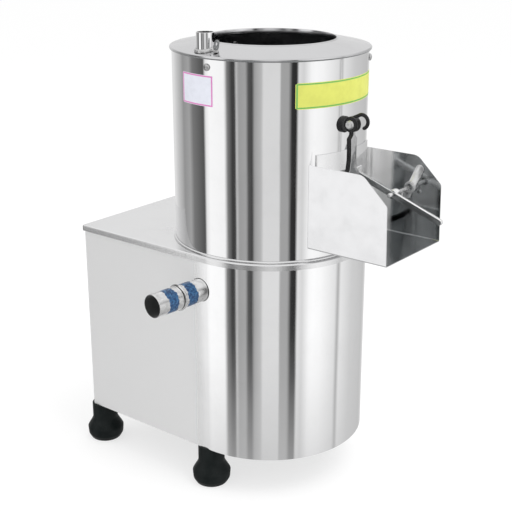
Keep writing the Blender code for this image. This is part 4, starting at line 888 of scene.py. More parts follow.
# Near-black skin for the insides of the drain's tubes and the groove in its bead: painted shade.
BORE_PAINTED_SHADE = Skin("bore_painted_shade", (0.006, 0.008, 0.008), (0.014, 0.016, 0.016), 0.65, 0.85, dust=0.02)
RUBBER = Skin("black_rubber", (0.005, 0.008, 0.008), (0.011, 0.014, 0.014), 0.40, 0.60, dust=0.03, specular=0.16)
# Black iron of the gate bracket, also put on the gate strap's side faces as a painted dark reflection.
IRON = Skin("black_iron", (0.008, 0.008, 0.009), (0.022, 0.022, 0.023), 0.22, 0.42, dust=0.03, stipple_size=900.0,
            specular=0.3)
PAINT = Skin("grey_paint", (0.16, 0.18, 0.20), (0.11, 0.12, 0.13), 0.30, 0.50, dust=0.35, stipple_size=450.0)
PLASTIC = Skin("dark_plastic", (0.018, 0.018, 0.019), (0.032, 0.032, 0.034), 0.35, 0.50, dust=0.15)
GRIT = Grit("black_abrasive")
LABEL = Printed("bare_label", (0.80, 0.82, 0.90), (0.72, 0.22, 0.52), 0.075, 0.032, 0.018)
BANNER = Printed("bare_banner", (0.60, 0.62, 0.13), (0.14, 0.38, 0.09), 0.016, 0.042, 0.030)
BLUE_FILM = Film("blue_film", (0.007, 0.025, 0.085), (0.032, 0.135, 0.285))


def second_finish(obj: Object, finish: Finish, chosen: Callable[[Vector, Vector], bool]) -> None:
    """Gives another finish to the faces that are chosen by their middle, on the drum's axis, and normal.

    Args:
        obj: The piece.
        finish: The other finish.
        chosen: Says from a face's middle and normal whether it takes it.
    """
    obj.data.materials.append(made_of(finish))
    for face in obj.data.polygons:
        if chosen(Vector(face.center) - AXIS, Vector(face.normal)):
            face.material_index = len(obj.data.materials) - 1


def piece(name: str, mesh: Mesh, finish: Finish, slot: Slot | None, *nodes: str, body: Body = Body.MACHINE,
          mirrored: bool = True) -> Object:
    """Puts a finished mesh in the scene, dressed and riding on its body.

    Args:
        name: The piece's name, which its mesh takes too.
        mesh: Its mesh, already in place.
        finish: What it is made of.
        slot: The record's slot for its finish, or None where there is none; not used.
        nodes: The CAD nodes that it stands for.
        body: The body that it moves with.
        mirrored: Whether it shows in the polished sheets beside it.

    Returns:
        The piece.
    """
    obj = linked(name, mesh)
    mesh.name = name
    mesh.materials.clear()
    mesh.materials.append(made_of(finish))
    obj.visible_glossy = mirrored
    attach(obj, body.value)
    if nodes:
        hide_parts(*nodes)
    log.info("%s: %d faces on %s", name, len(mesh.polygons), body.value)
    return obj


def ended(tree: Tree, given: bpy.types.NodeOutputs, shape: NodeSocket) -> NodeTree:
    """Makes a Geometry Nodes tree's result plain mesh of the material that is given.

    Args:
        tree: The tree's helper.
        given: The tree's inputs.
        shape: The result, which may hold instances.

    Returns:
        The plain tree.
    """
    real = tree.out("GeometryNodeRealizeInstances", {0: shape})
    dressed = tree.out("GeometryNodeSetMaterial", {"Geometry": real, "Material": given["Material"]})
    tree.add("NodeGroupOutput", {0: dressed})
    return tree.tree


@cache
def scatter_group() -> NodeTree:
    """A Geometry Nodes tree that sets one fastener at each point of a mesh, turned as the point says.

    Returns:
        The tree.
    """
    tree, given = new_group("fastener_set", "Geometry", {"Geometry": "Geometry", "Fastener": "Object", "Seed": "Int",
                            "Material": "Material"}, ["Geometry"])
    shape = tree.out("GeometryNodeObjectInfo", {"Object": given["Fastener"]}, "Geometry")
    turn = tree.out("GeometryNodeInputNamedAttribute", {"Name": "turn"}, data_type="FLOAT_VECTOR")
    spin = tree.out("FunctionNodeRandomValue", {"Min": 0.0, "Max": 2 * pi, "Seed": given["Seed"]}, 1, data_type="FLOAT")
    around = tree.out("ShaderNodeCombineXYZ", {"Z": spin})
    lean, twist = (tree.out("FunctionNodeEulerToRotation", {0: angles}) for angles in (turn, around))
    both = tree.out("FunctionNodeRotateRotation", {0: lean, 1: twist}, rotation_space="LOCAL")
    spread_out = {"Points": given["Geometry"], "Instance": shape, "Rotation": both}
    return ended(tree, given, tree.out("GeometryNodeInstanceOnPoints", spread_out))


def scattered(fastener: Mesh, places: Sequence[tuple[Vector, Vector]], finish: Finish, seed: int) -> Mesh:
    """Sets a fastener at each place with the Geometry Nodes tree.

    Args:
        fastener: One fastener that stands on the drum's foot and points up, which is used up.
        places: Where each one stands, from the drum's axis, and which way it points.
        finish: What they are made of.
        seed: Seed for how far each is turned.

    Returns:
        One plain mesh of them all.
    """
    points = bpy.data.meshes.new("points")
    points.from_pydata([tuple(AXIS + place) for place, _ in places], [], [])
    turns = points.attributes.new("turn", "FLOAT_VECTOR", "POINT")
    for mark, (_, way) in zip(turns.data, places):
        mark.vector = way.to_track_quat("Z", "Y").to_euler()
    fastener.transform(move(-AXIS))
    one = linked("fastener", fastener)
    inputs = {"Fastener": one, "Seed": seed, "Material": made_of(finish)}
    made = modified(points, "NODES", inputs, node_group=scatter_group())
    dropped(one)
    return smoothed(made)


def vent_group() -> NodeTree:
    """A Geometry Nodes tree that cuts two columns of slots through a panel.

    Returns:
        The tree.
    """
    tree, given = new_group("vent_slots", "Geometry", {
        "Geometry": "Geometry", "Cutter": "Object", "Rows": "Int", "Pitch": 0.0, "Spread": 0.0,
        "First": "Vector", "Material": "Material"}, ["Geometry"])
    step, across = (tree.out("ShaderNodeCombineXYZ", {axis: given[label]})
                    for axis, label in (("Z", "Pitch"), ("Y", "Spread")))
    upright = tree.out("GeometryNodeMeshLine", {"Count": given["Rows"], "Offset": step})
    pair = tree.out("GeometryNodeMeshLine", {"Count": 2, "Offset": across})
    columns = tree.out("GeometryNodeInstanceOnPoints", {"Points": pair, "Instance": upright})
    points = tree.out("GeometryNodeRealizeInstances", {0: columns})
    placed = tree.out("GeometryNodeTransform", {"Geometry": points, "Translation": given["First"]})
    shape = tree.out("GeometryNodeObjectInfo", {"Object": given["Cutter"]}, "Geometry")
    slots = tree.out("GeometryNodeInstanceOnPoints", {"Points": placed, "Instance": shape})
    cutters = tree.out("GeometryNodeRealizeInstances", {0: slots})
    return ended(tree, given, tree.out("GeometryNodeMeshBoolean", {0: given["Geometry"], "Mesh 2": cutters},
                                       operation="DIFFERENCE", solver="EXACT"))


def hex_head(radius: float, height: float) -> Mesh:
    """A six-sided head with chamfered corners, standing on the drum's foot.

    Args:
        radius: Radius to its corners.
        height: Its height.

    Returns:
        The head.
    """
    edge, chamfer = 0.90, 0.14
    rows = [[(radius * share * cos(turn), radius * share * sin(turn), height * level) for turn in circle(6)]
            for level, share in ((0.0, edge), (chamfer, 1.0), (1 - chamfer, 1.0), (1.0, edge))]
    return to_mesh(grid(rows, capped=True))


def dome_screw(radius: float, head: float, shank: float, length: float, slot: float) -> Mesh:
    """A domed screw with a cross slot, standing on the drum's foot.

    Args:
        radius: Radius of its head.
        head: Height of its head.
        shank: Radius of its shank.
        length: Length of its shank.
        slot: Width of the slot.

    Returns:
        The mesh.
    """
    dome = [(radius * sin(turn), head * cos(turn) ** 0.8) for turn in (0.0, 0.2, 0.45, 0.7, 0.95, 1.2, 1.4, pi / 2)]
    profile = [*dome, (radius * 0.98, 0), (shank, 0), (shank, -length), (0, -length)]
    depth = head * 0.55
    cross = []
    for turn in (0, pi / 2):
        cross.append(block((0, 0, head - depth / 2 + GAP), (radius * 1.15, slot, depth + GAP)))
        cross[-1].transform(move(AXIS) @ Matrix.Rotation(turn, 4, "Z") @ move(-AXIS))
    return cut(lathe(profile, None, 48), *cross)


@dataclass
class Feet:
    """Four flared rubber feet and the bolts that hold them."""

    height: float = 0.0797
    neck: float = 0.0258
    flare: float = 0.0372
    sole: float = 0.0300
    bolt: float = 0.004
    depth: float = 0.034
    frame_top: float = 0.084

    def foot_profile(self) -> list[Point]:
        """The section of one foot, with a soft flare and a rolled lower edge.

        Returns:
            The section, from its axis out and back.
        """
        bore, bottom = self.bolt + GAP, self.height - self.depth
        curve = [(self.neck + (self.flare - self.neck) * share ** 1.5 * (1.5 - 0.5 * share), 0.0475 - 0.0225 * share)
                 for share in spread(0, 1, 12)]
        edge = rounded([(self.flare - 0.0004, 0.0240, 0.0040), (self.flare - 0.0010, 0.0105, 0.0075),
                        (self.sole, 0.0, 0.0045), (0.010, 0.0, 0.0)], 6, closed=False)
        return [(0, bottom), (bore, bottom), (bore, self.height), (self.neck - 0.0016, self.height),
                (self.neck - 0.0004, self.height - 0.0005), (self.neck, self.height - 0.0016), *curve, *edge[1:],
                (0.0095, 0.0015), (0, 0.0015)]

    def build(self) -> None:
        """Makes the feet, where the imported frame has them, and their nuts and bolts."""
        bolts = []
        for number in range(1, 5):
            node = f"rubber_foot_{number}"
            middle = sum(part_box(node), Vector((0, 0, 0))) / 2 - AXIS
            middle.z = 0
            foot = lathe(self.foot_profile(), move(middle), 96, sharp=radians(50))
            piece(f"foot_rubber_{number}", foot, RUBBER, Slot.RUBBER, node)
            bolts.append((middle + Vector((0, 0, self.frame_top + GAP)), Vector((0, 0, 1))))
        stud = lathe([(0, 0.0113), (0.0034, 0.0113), (0.004, 0.0108), (0.004, -0.0377), (0, -0.0377)], None, 32)
        nuts = scattered(hex_head(0.0065, 0.0065), bolts, MACHINED, 3)
        studs = scattered(stud, bolts, MACHINED, 5)
        piece("foot_nuts", nuts, MACHINED, Slot.MACHINED, *[f"foot_bolt_{number}" for number in range(1, 5)])
        piece("foot_studs", studs, MACHINED, Slot.MACHINED)


@dataclass
class Base:
    """The wrapped base sheet, its rear panel, the pressed top plate and what is fixed to them."""

    radius: float = 0.186
    rear: float = -0.3205
    low: float = 0.080
    top: float = 0.4725
    shell_top: float = 0.4707
    wall: float = 0.0015
    flange: float = 0.022
    fold: float = 0.0022
    lip: float = 0.0036
    lip_height: float = 0.0115
    lip_round: float = 0.0034
    lip_corner: float = 0.0041
    pan_hole: float = 0.173
    panel_low: float = 0.0843
    panel_x: float = -0.31795
    vent_rows: int = 4
    vent_pitch: float = 0.024
    vent_first: float = 0.20001
    vent_length: float = 0.110
    vent_width: float = 0.006
    vent_y: float = 0.078

    def plan(self, inset: float, corner: float) -> list[Point]:
        """The base's plan, round at the front, from the near rear corner, drawn in and with rounded rear corners.

        Args:
            inset: How far it is drawn in.
            corner: Radius of its rear corners.

        Returns:
            The outline.
        """
        radius, rear = self.radius - inset, self.rear + inset
        near = arc((rear + corner, corner - radius), corner, -pi, -pi / 2, 6)
        far = arc((rear + corner, radius - corner), corner, pi / 2, pi, 6)
        side = [rear + corner + SUPPORT, rear * 0.5, -SUPPORT]
        return [*near, *[(x, -radius) for x in side], *arc((0, 0), radius, -pi / 2, pi / 2, 96),
                *[(x, radius) for x in reversed(side)], *far]

    def wrap(self) -> Mesh:
        """The side sheet, folded inwards at the back, with the hole for the drain.

        Returns:
            The sheet.
        """
        flange, side = self.radius - self.flange, self.radius - self.fold - SUPPORT
        outline = [(self.rear, -flange), (self.rear, -side), *self.plan(0.0, self.fold), (self.rear, side),
                   (self.rear, flange)]
        levels = [self.low, self.low + 0.002, 0.20, 0.33, self.shell_top]
        shape = grid([[(x, y, level) for x, y in outline] for level in levels], around=False)
        hole = drill(0.0226, 0.172, 0.207, DRAIN_AXIS)
        return cut(thickened(shape, self.wall), hole, sharp=radians(50))

    def lid(self) -> Mesh:
        """The top plate with its rolled lip.

        Returns:
            The plate.
        """
        levels = [(0.0, self.top - self.lip_height), (0.0, self.top - self.lip_round - SUPPORT)]
        levels += [(self.lip_round * (1 - cos(turn)), self.top - self.lip_round * (1 - sin(turn)))
                   for turn in spread(0, pi / 2, 8)]
        levels.append((self.lip_round + SUPPORT, self.top))
        rows = [[(x, y, height) for x, y in self.plan(inset - self.lip, self.lip_corner - inset)]
                for inset, height in levels]
        rows.append([(x * self.pan_hole / hypot(x, y), y * self.pan_hole / hypot(x, y), z) for x, y, z in rows[-1]])
        return thickened(grid(rows), self.wall)

    def panel(self) -> Mesh:
        """The rear panel with its vent slots and the holes for the switch and the cable gland.

        Returns:
            The panel.
        """
        half, end = self.radius - self.wall - GAP, self.vent_width / 2
        edge = box_outline(-half, self.panel_low, half, self.shell_top, 0.002, 0.002)
        sheet = plate([edge], self.wall, move((self.panel_x, 0, 0)) @ FACING, 0.0002)
        flat = self.vent_length / 2 - end
        slot = rounded_slot(flat, -flat, end, 10)
        cutter = linked("vent_cutter", plate([slot], 0.008, move(-AXIS) @ FACING, 0.00001))
        sheet = modified(sheet, "NODES", {
            "Cutter": cutter, "Rows": self.vent_rows, "Pitch": self.vent_pitch, "Spread": 2 * self.vent_y,
            "First": AXIS + Vector((self.panel_x, -self.vent_y, self.vent_first)), "Material": made_of(SATIN)},
            node_group=vent_group())
        dropped(cutter)
        return cut(sheet, block((self.panel_x, *SWITCH), (0.01, 0.0386, 0.0386)),
                   drill(0.0083, -0.004, 0.004, lying(0, GLAND[1], (self.panel_x, GLAND[0])), 48))

    def build(self) -> None:
        """Makes the base's sheets and screws."""
        piece("base_wrap", self.wrap(), BASE_SHEET, Slot.SATIN, "base_shell")
        piece("base_lid", self.lid(), SATIN, Slot.SATIN, "base_top_plate")
        piece("back_panel", self.panel(), SATIN, Slot.SATIN, "rear_panel")
        places = [(Vector((self.rear, y, z)), Vector((-1, 0, 0))) for y in (-0.175, 0.175) for z in (0.129, 0.4257)]
        screws = scattered(dome_screw(0.0045, 0.0028, 0.002, 0.010, 0.0009), places, MACHINED, 11)
        piece("panel_screws", screws, MACHINED, Slot.MACHINED, *[f"panel_screw_{number}" for number in range(1, 5)])


@dataclass
class Drum:
    """The polished drum, its liner, foot ring, top ring and the bare label and banner on it."""

    radius: float = 0.1805
    wall: float = 0.0015
    low: float = 0.4728
    top: float = 0.8275
    rim: float = 0.831
    rim_radius: float = 0.1849
    bead: float = 0.0032
    hole: float = 0.1199
    liner_wall: float = 0.003
    seam: float = radians(-9.7)

    def outlet(self) -> Mesh:
        """The opening into the chute, with rounded corners, as a cutter."""
        edge = box_outline(-0.0745, 0.4973, 0.0745, 0.6388, 0.004, 0.008)
        return to_mesh(grid([[(x, y, z) for y, z in edge] for x in (0.0985, 0.2105)], capped=True))

    def seam_line(self) -> Mesh:
        """The ground weld that closes the drum, hardly proud of its face.

        Returns:
            The weld.
        """
        rows = []
        for step, height in enumerate(spread(self.low + 0.004, self.top - 0.002, 60)):
            wander = 0.00012 * sin(step * 2.1) + 0.00008 * sin(step * 5.3)
            rows.append([polar(self.radius + out, self.seam + (across + wander) / self.radius, height)
                         for across, out in ((-0.0011, -0.0002), (-0.0008, 0.0), (-0.0003, 0.00010),
                                             (0.0003, 0.00010), (0.0008, 0.0), (0.0011, -0.0002))])
        return to_mesh(grid(rows, capped=True))

    def top_ring(self) -> Mesh:
        """The coned ring over the drum, with its bright lip at the hole and a rolled bead outside.

        Returns:
            The ring.
        """
        hole, wall, top = self.hole, self.wall, cone_height(self.hole)
        skirt, bottom, crest = self.radius - wall - GAP, self.rim - 0.028, self.rim_radius - self.bead
        profile = [
            (hole, top - 0.008), (hole, top - 0.0006), (hole + 0.0002, top + 0.0002), (hole + 0.0008, top + 0.0007),
            (hole + 0.0020, top + 0.0007), (hole + 0.0030, top + 0.0002),
            *[(place, cone_height(place)) for place in (hole + 0.0036, hole + 0.0045, crest - 0.002)],
            *arc((crest, self.rim), self.bead, pi / 2, -pi / 2, 12), (skirt, self.rim - self.bead), (skirt, bottom),
            (skirt - wall, bottom), *[(place, cone_height(place) - wall) for place in (skirt - wall, hole + wall)],
            (hole + wall, top - 0.008)]
        bore = drill(0.0164, -0.008, 0.02, move(polar(INLET_RADIUS, INLET_ANGLE, self.rim)))
        return cut(lathe(profile, ring=True), bore)

    def opened(self, section: list[Point]) -> Mesh:
        """A round wall of a section, opened for the outlet."""
        return cut(lathe(section, ring=True), self.outlet())

    def wrapped(self, first: float, last: float, low: float, high: float) -> Mesh:
        """A thin sheet with rounded corners glued round the drum, with a UV map over its face.

        Args:
            first: Angle of its left edge, in radians.
            last: Angle of its right edge.
            low: Height of its lower edge.
            high: Height of its upper edge.

        Returns:
            The sheet.
        """
        inner, outer = self.radius + 0.00002, self.radius + 0.00016
        width = (last - first) * self.radius
        sections = []
        for across in spread(0, width, 80):
            turn = first + across / self.radius
            drawn = corner_cut(min(across, width - across), 0.0025)
            sections.append([polar(radius, turn, level) for radius, level in (
                (inner, low + drawn), (outer, low + drawn), (outer, high - drawn), (inner, high - drawn))])
        mesh = to_mesh(grid(sections, capped=True))
        marks = mesh.uv_layers.new(name="UVMap")
        for loop, mark in zip(mesh.loops, marks.data):
            place = mesh.vertices[loop.vertex_index].co - AXIS
            mark.uv = ((atan2(place.y, place.x) - first) / (last - first), (place.z - low) / (high - low))
        return mesh

    def build(self) -> None:
        """Makes the drum's pieces."""
        low, inner = self.low, self.radius + GAP
        wall = tube_section(self.radius, self.wall, low, self.top, 0.0003)
        piece("drum_wall", self.opened(wall), POLISHED, Slot.POLISHED, "drum_shell")
        piece("drum_seam", self.seam_line(), SATIN, Slot.POLISHED)
        ring = [(inner + out, low + up) for out, up in ((0, 0.0035), (0.0008, 0.0035), (0.0020, 0.0031),
                                                        (0.0028, 0.0022), (0.0032, 0.0010), (0.0032, 0), (0, 0))]
        bead = lathe(ring, ring=True, sharp=SOFT)
        piece("drum_foot_bead", bead, SATIN, Slot.SATIN, "drum_foot_ring")
        liner = tube_section(self.radius - self.wall - 0.0005, self.liner_wall, 0.4751, 0.8027)
        piece("drum_lining", self.opened(liner), GRIT, Slot.ABRASIVE, "drum_liner")
        cone = piece("top_cone", self.top_ring(), SATIN_RING, Slot.SATIN, "top_ring")
        # Painted shade: the rolled bead's downward faces take the darker tap steel, drawing the dark line under the
        # bead.
        second_finish(cone, TAP_STEEL_AND_PAINTED_SHADE, lambda middle, normal: normal.z < -0.25 and
                      hypot(middle.x, middle.y) > self.radius)
        turns = [radians(-89.4 + 120 * number) for number in range(3)]
        screws = scattered(dome_screw(0.0065, 0.0042, 0.0025, 0.009, 0.0012),
                           [(polar(inner, turn, self.rim - 0.017), polar(1, turn)) for turn in turns], MACHINED, 7)
        piece("top_ring_screws", screws, MACHINED, Slot.POLISHED, "ring_screw_1", "ring_screw_2", "ring_screw_3")
        for name, first, last, bottom, top, finish in (("drum_label", -110.4, -85.4, 0.7462, 0.7999, LABEL),
                                                       ("drum_banner", -38.8, 60.0, 0.747, 0.792, BANNER)):
            piece(name, self.wrapped(radians(first), radians(last), bottom, top), finish, None)


@dataclass
class Inlet:
    """The water inlet on the top ring and its quarter-turn tap."""

    radius: float = 0.016
    wall: float = 0.002
    height: float = 0.0310
    tap_angle: float = radians(-86.5)
    tap_place: float = 0.166
    turn: float = radians(35)
    tap_rise: float = 0.0045

    def collar(self) -> Mesh:
        """The weld bead round the pipe's foot, which follows the cone.

        Returns:
            The bead.
        """
        middle = polar(INLET_RADIUS, INLET_ANGLE)
        inner, end = self.radius + GAP, 0.0035
        sections = []
        for turn in circle(96):
            ripple = 0.00018 * sin(turn * 23) + 0.0001 * sin(turn * 41)
            row = []
            for out, up in ((0.0, 0.0060), (0.0009, 0.0061), (0.0019, 0.0052), (0.0028, 0.0034), (0.0034, 0.0014),
                            (end, 0.0004), (0.0, 0.0004)):
                place = middle + polar(inner + out + (ripple if out not in (0.0, end) else 0.0), turn)
                row.append((place.x, place.y, cone_height(hypot(place.x, place.y)) + 0.0004 + up * 0.9))
            sections.append(row)
        return to_mesh(grid(sections, along=True), sharp=radians(70))

    def wing(self, place: Vector) -> Mesh:
        """The tap's lever: a steel blade with a slot in it, which leans from its round neck.

        Args:
            place: Where its neck stands.

        Returns:
            The blade.
        """
        profile = [(0, 0.0060), (0.0028, 0.0060), (0.0036, 0.0052), (0.0036, 0.0004), (0.0032, 0), (0, 0)]
        half, tall = 0.0050, 0.0165
        outline = [(-half + 0.0008, 0), (half - 0.0008, 0), (half, 0.004),
                   *arc((0.0006, tall - half), half - 0.0006, 0, pi, 14), (-half, 0.004)]
        slot = [*arc((0.0003, tall - half - 0.0010), 0.0013, 0, pi, 8), *arc((0.0003, 0.0075), 0.0013, pi, 2 * pi, 8)]
        matrix = (move(place) @ move((0, 0, 0.0012)) @ Matrix.Rotation(self.turn, 4, "Z")
                  @ Matrix.Rotation(radians(8), 4, "Y") @ ON_SIDE)
        return joined(lathe(profile, move(place), 40), plate([outline, slot], 0.0034, matrix, 0.0007))

    def build(self) -> None:
        """Makes the pipe, its collar and the tap."""
        seat, tap_seat = cone_height(INLET_RADIUS), cone_height(self.tap_place)
        section = tube_section(self.radius, self.wall, seat - 0.012, seat + self.height, 0.0007)
        pipe = lathe(section, move(polar(INLET_RADIUS, INLET_ANGLE)), PIPE_STEPS, ring=True)
        piece("inlet_tube", pipe, POLISHED_PIPE, Slot.POLISHED, "inlet_pipe")
        piece("inlet_weld", self.collar(), MACHINED, Slot.SATIN, "inlet_collar")
        place, low = polar(self.tap_place, self.tap_angle, tap_seat + self.tap_rise), 0.0006 - self.tap_rise
        boss = [(0, 0), (0.0047, 0), (0.0055, -0.0008), (0.0055, -0.0028), (0.0050, -0.0032), (0.0050, low), (0, low)]
        piece("tap_body", lathe(boss, move(place), 48), MACHINED, Slot.POLISHED, "tap_boss")
        piece("tap_wing", self.wing(place + Vector((0, 0, GAP))), TAP_STEEL_AND_PAINTED_SHADE, Slot.MACHINED, "tap_handle", body=Body.TAP)


@dataclass
class Drain:
    """The water pan under the disc and the beaded drain pipe, with scraps of film left on it."""

    radius: float = 0.019
    wall: float = 0.002
    bead: float = 0.2395
    spout: float = 0.0218
    reach: float = 0.302

    def pan(self) -> Mesh:
        """The pan that hangs in the top plate.

        Returns:
            The pan.
        """
        top, seat, bottom, wall = 0.4748, 0.4728, 0.3725, 0.002
        outer = [(0.1784, top, 0.0003), (0.1784, seat, 0.0003), (0.168, seat, 0.0), (0.168, bottom, 0.006),
                 (0.020, bottom, 0.001), (0.020, bottom + 0.026, 0.0003), (0.022, bottom + 0.026, 0.0003),
                 (0.022, bottom + wall, 0.001), (0.166, bottom + wall, 0.005), (0.166, top, 0.0008)]
        hole = drill(self.radius - self.wall, 0.147, 0.186, DRAIN_AXIS)
        return cut(lathe(rounded(outer, 5), ring=True), hole)

    def film(self, start: float, stop: float, torn: float) -> Mesh:
        """A band of film round the pipe with torn edges.

        Args:
            start: Where it starts along the pipe, on average.
            stop: Where it ends, on average.
            torn: How ragged its edges are.

        Returns:
            The band.
        """
        inner = self.spout + 0.00002
        sections = []
        for turn in circle(240):
            first, end = (edge + torn * (sin(3 * turn + edge * 90) * 0.45 + sin(8 * turn + edge * 700) * 0.35
                                         + sin(19 * turn + edge * 300) * 0.3) for edge in (start, stop))
            lift, half = self.spout + 0.00012 + 0.00006 * sin(11 * turn), (first + end) / 2
            sections.append([(radius * cos(turn), radius * sin(turn), along) for radius, along in (
                (inner, first), (lift, first), (lift, half), (lift, end), (inner, end), (inner, half))])
        return to_mesh(grid(sections, along=True), DRAIN_AXIS, sharp=SOFT)

    def tube(self, radius: float, wall: float, start: float, stop: float, edge: float = 0.0004) -> Mesh:
        """A straight tube on the drain's axis, with its end edges eased."""
        return lathe(tube_section(radius, wall, start, stop, edge), DRAIN_AXIS, PIPE_STEPS, True)

    def build(self) -> None:
        """Makes the pan, the pipe and the film on it."""
        piece("water_tray", self.pan(), SATIN, Slot.SATIN, "water_pan")
        bead, bore, spout, crest = self.bead, self.radius + GAP, self.spout, self.spout + 0.0032
        sleeve = self.tube(spout, spout - self.radius + self.wall, 0.1862, bead - 0.0004)
        face = lathe(plug(0.1683, 0.36, 0.48))
        stub = joined(cut(self.tube(self.radius, self.wall, 0.1675, 0.190), face), sleeve)
        section = [(bore, bead), *[(radius, bead + up) for radius, up in (
            (spout + 0.0010, 0.0), (crest - 0.0004, 0.0006), (crest, 0.0016), (crest - 0.0002, 0.0028),
            (spout + 0.0006, 0.0036), (spout - 0.0002, 0.0042), (spout - 0.0002, 0.0056), (spout + 0.0008, 0.0064),
            (spout + 0.0004, 0.0074), (spout - 0.0010, 0.0078), (bore, 0.0078))]]
        collar = lathe(section, DRAIN_AXIS, PIPE_STEPS, True, SOFT)
        mouth = self.tube(spout, self.wall, bead + 0.0082, self.reach, 0.0007)
        back = DRAIN_AXIS.inverted()
        for name, mesh, node in (("drain_tube", stub, "drain_stub"), ("drain_bead", collar, "drain_collar"),
                                 ("drain_mouth", mouth, "drain_spout")):
            obj = piece(name, mesh, PIPE_STEEL, Slot.POLISHED, node, mirrored=False)
            # Painted shade: the inside of each tube and the groove in the bead take a near-black skin.
            second_finish(obj, BORE_PAINTED_SHADE, lambda middle, normal: (back @ middle).xy.length < spout - self.wall * 0.6
                          if mesh is not collar else bead + 0.0034 < (back @ middle).z < bead + 0.0062)
        for name, start, stop, torn in (("film_band_near", 0.2575, 0.2795, 0.0022),
                                        ("film_band_far", 0.2110, 0.2330, 0.0020)):
            piece(name, self.film(start, stop, torn), BLUE_FILM, None, mirrored=False)


@dataclass
class Chute:
    """The open-fronted discharge chute, folded from one sheet."""

    floor: float = 0.4958
    top: float = 0.6488
    half: float = 0.09185
    reach: float = 0.3186
    wall: float = 0.0015
    start: float = 0.0985
    top_reach: float = 0.266
    top_round: float = 0.024
    drop: float = 0.047
    lean: float = 0.0025
    fold: float = 0.003

    def corner(self) -> Mesh:
        """What is cut off the sides above and in front.

        Returns:
            The cutter.
        """
        x, z = self.reach - self.lean, self.top - self.drop
        over = 0.004
        fall = self.drop / (x - self.top_reach)
        slope = sqrt(1 + fall * fall)
        centre = (self.top_reach - self.top_round * (slope - 1) / fall, self.top - self.top_round)
        outline = [(centre[0] - 0.0003, self.top), *arc(centre, self.top_round, pi / 2, pi / 2 - acos(1 / slope), 16),
                   (x - 0.0018, z + 0.0018 * fall), (x - 0.0003, z - 0.0008), (x, z - 0.003),
                   (self.reach, self.floor - over), (self.reach + over, self.floor - over),
                   (self.reach + over, self.top + over), (centre[0] - 0.0003, self.top + over)]
        return plate([outline], 0.2, ON_SIDE, 0.00001)

    def build(self) -> None:
        """Makes the chute."""
        section = rounded([(-self.half, self.top, 0), (-self.half, self.floor, self.fold),
                           (self.half, self.floor, self.fold), (self.half, self.top, 0)], 6, closed=False)
        rows = [[(x, y, z) for y, z in section] for x in (self.start, 0.20, 0.26, self.reach)]
        sheet = thickened(grid(rows, around=False), self.wall)
        if max(vert.co.y for vert in sheet.vertices) - AXIS.y > self.half + 0.0001:
            raise ValueError("the chute's wall grew outwards")
        sheet = eased(cut(sheet, core(), self.corner()), 0.00035, 2, SOFT)
        chute = piece("chute_sheet", sheet, CHUTE_SHEET, Slot.POLISHED, "discharge_chute")
        # Painted shade: the inside floor and the inward faces of the sides take darker steel than the outside.
        second_finish(chute, CHUTE_INSIDE_PAINTED_SHADE, lambda middle, normal: abs(normal.x) < 0.5 and
                      normal.z > 0.5 and middle.z < self.floor + 0.01)
        second_finish(chute, CHUTE_CHEEK_PAINTED_SHADE, lambda middle, normal: middle.y * normal.y < -0.02)


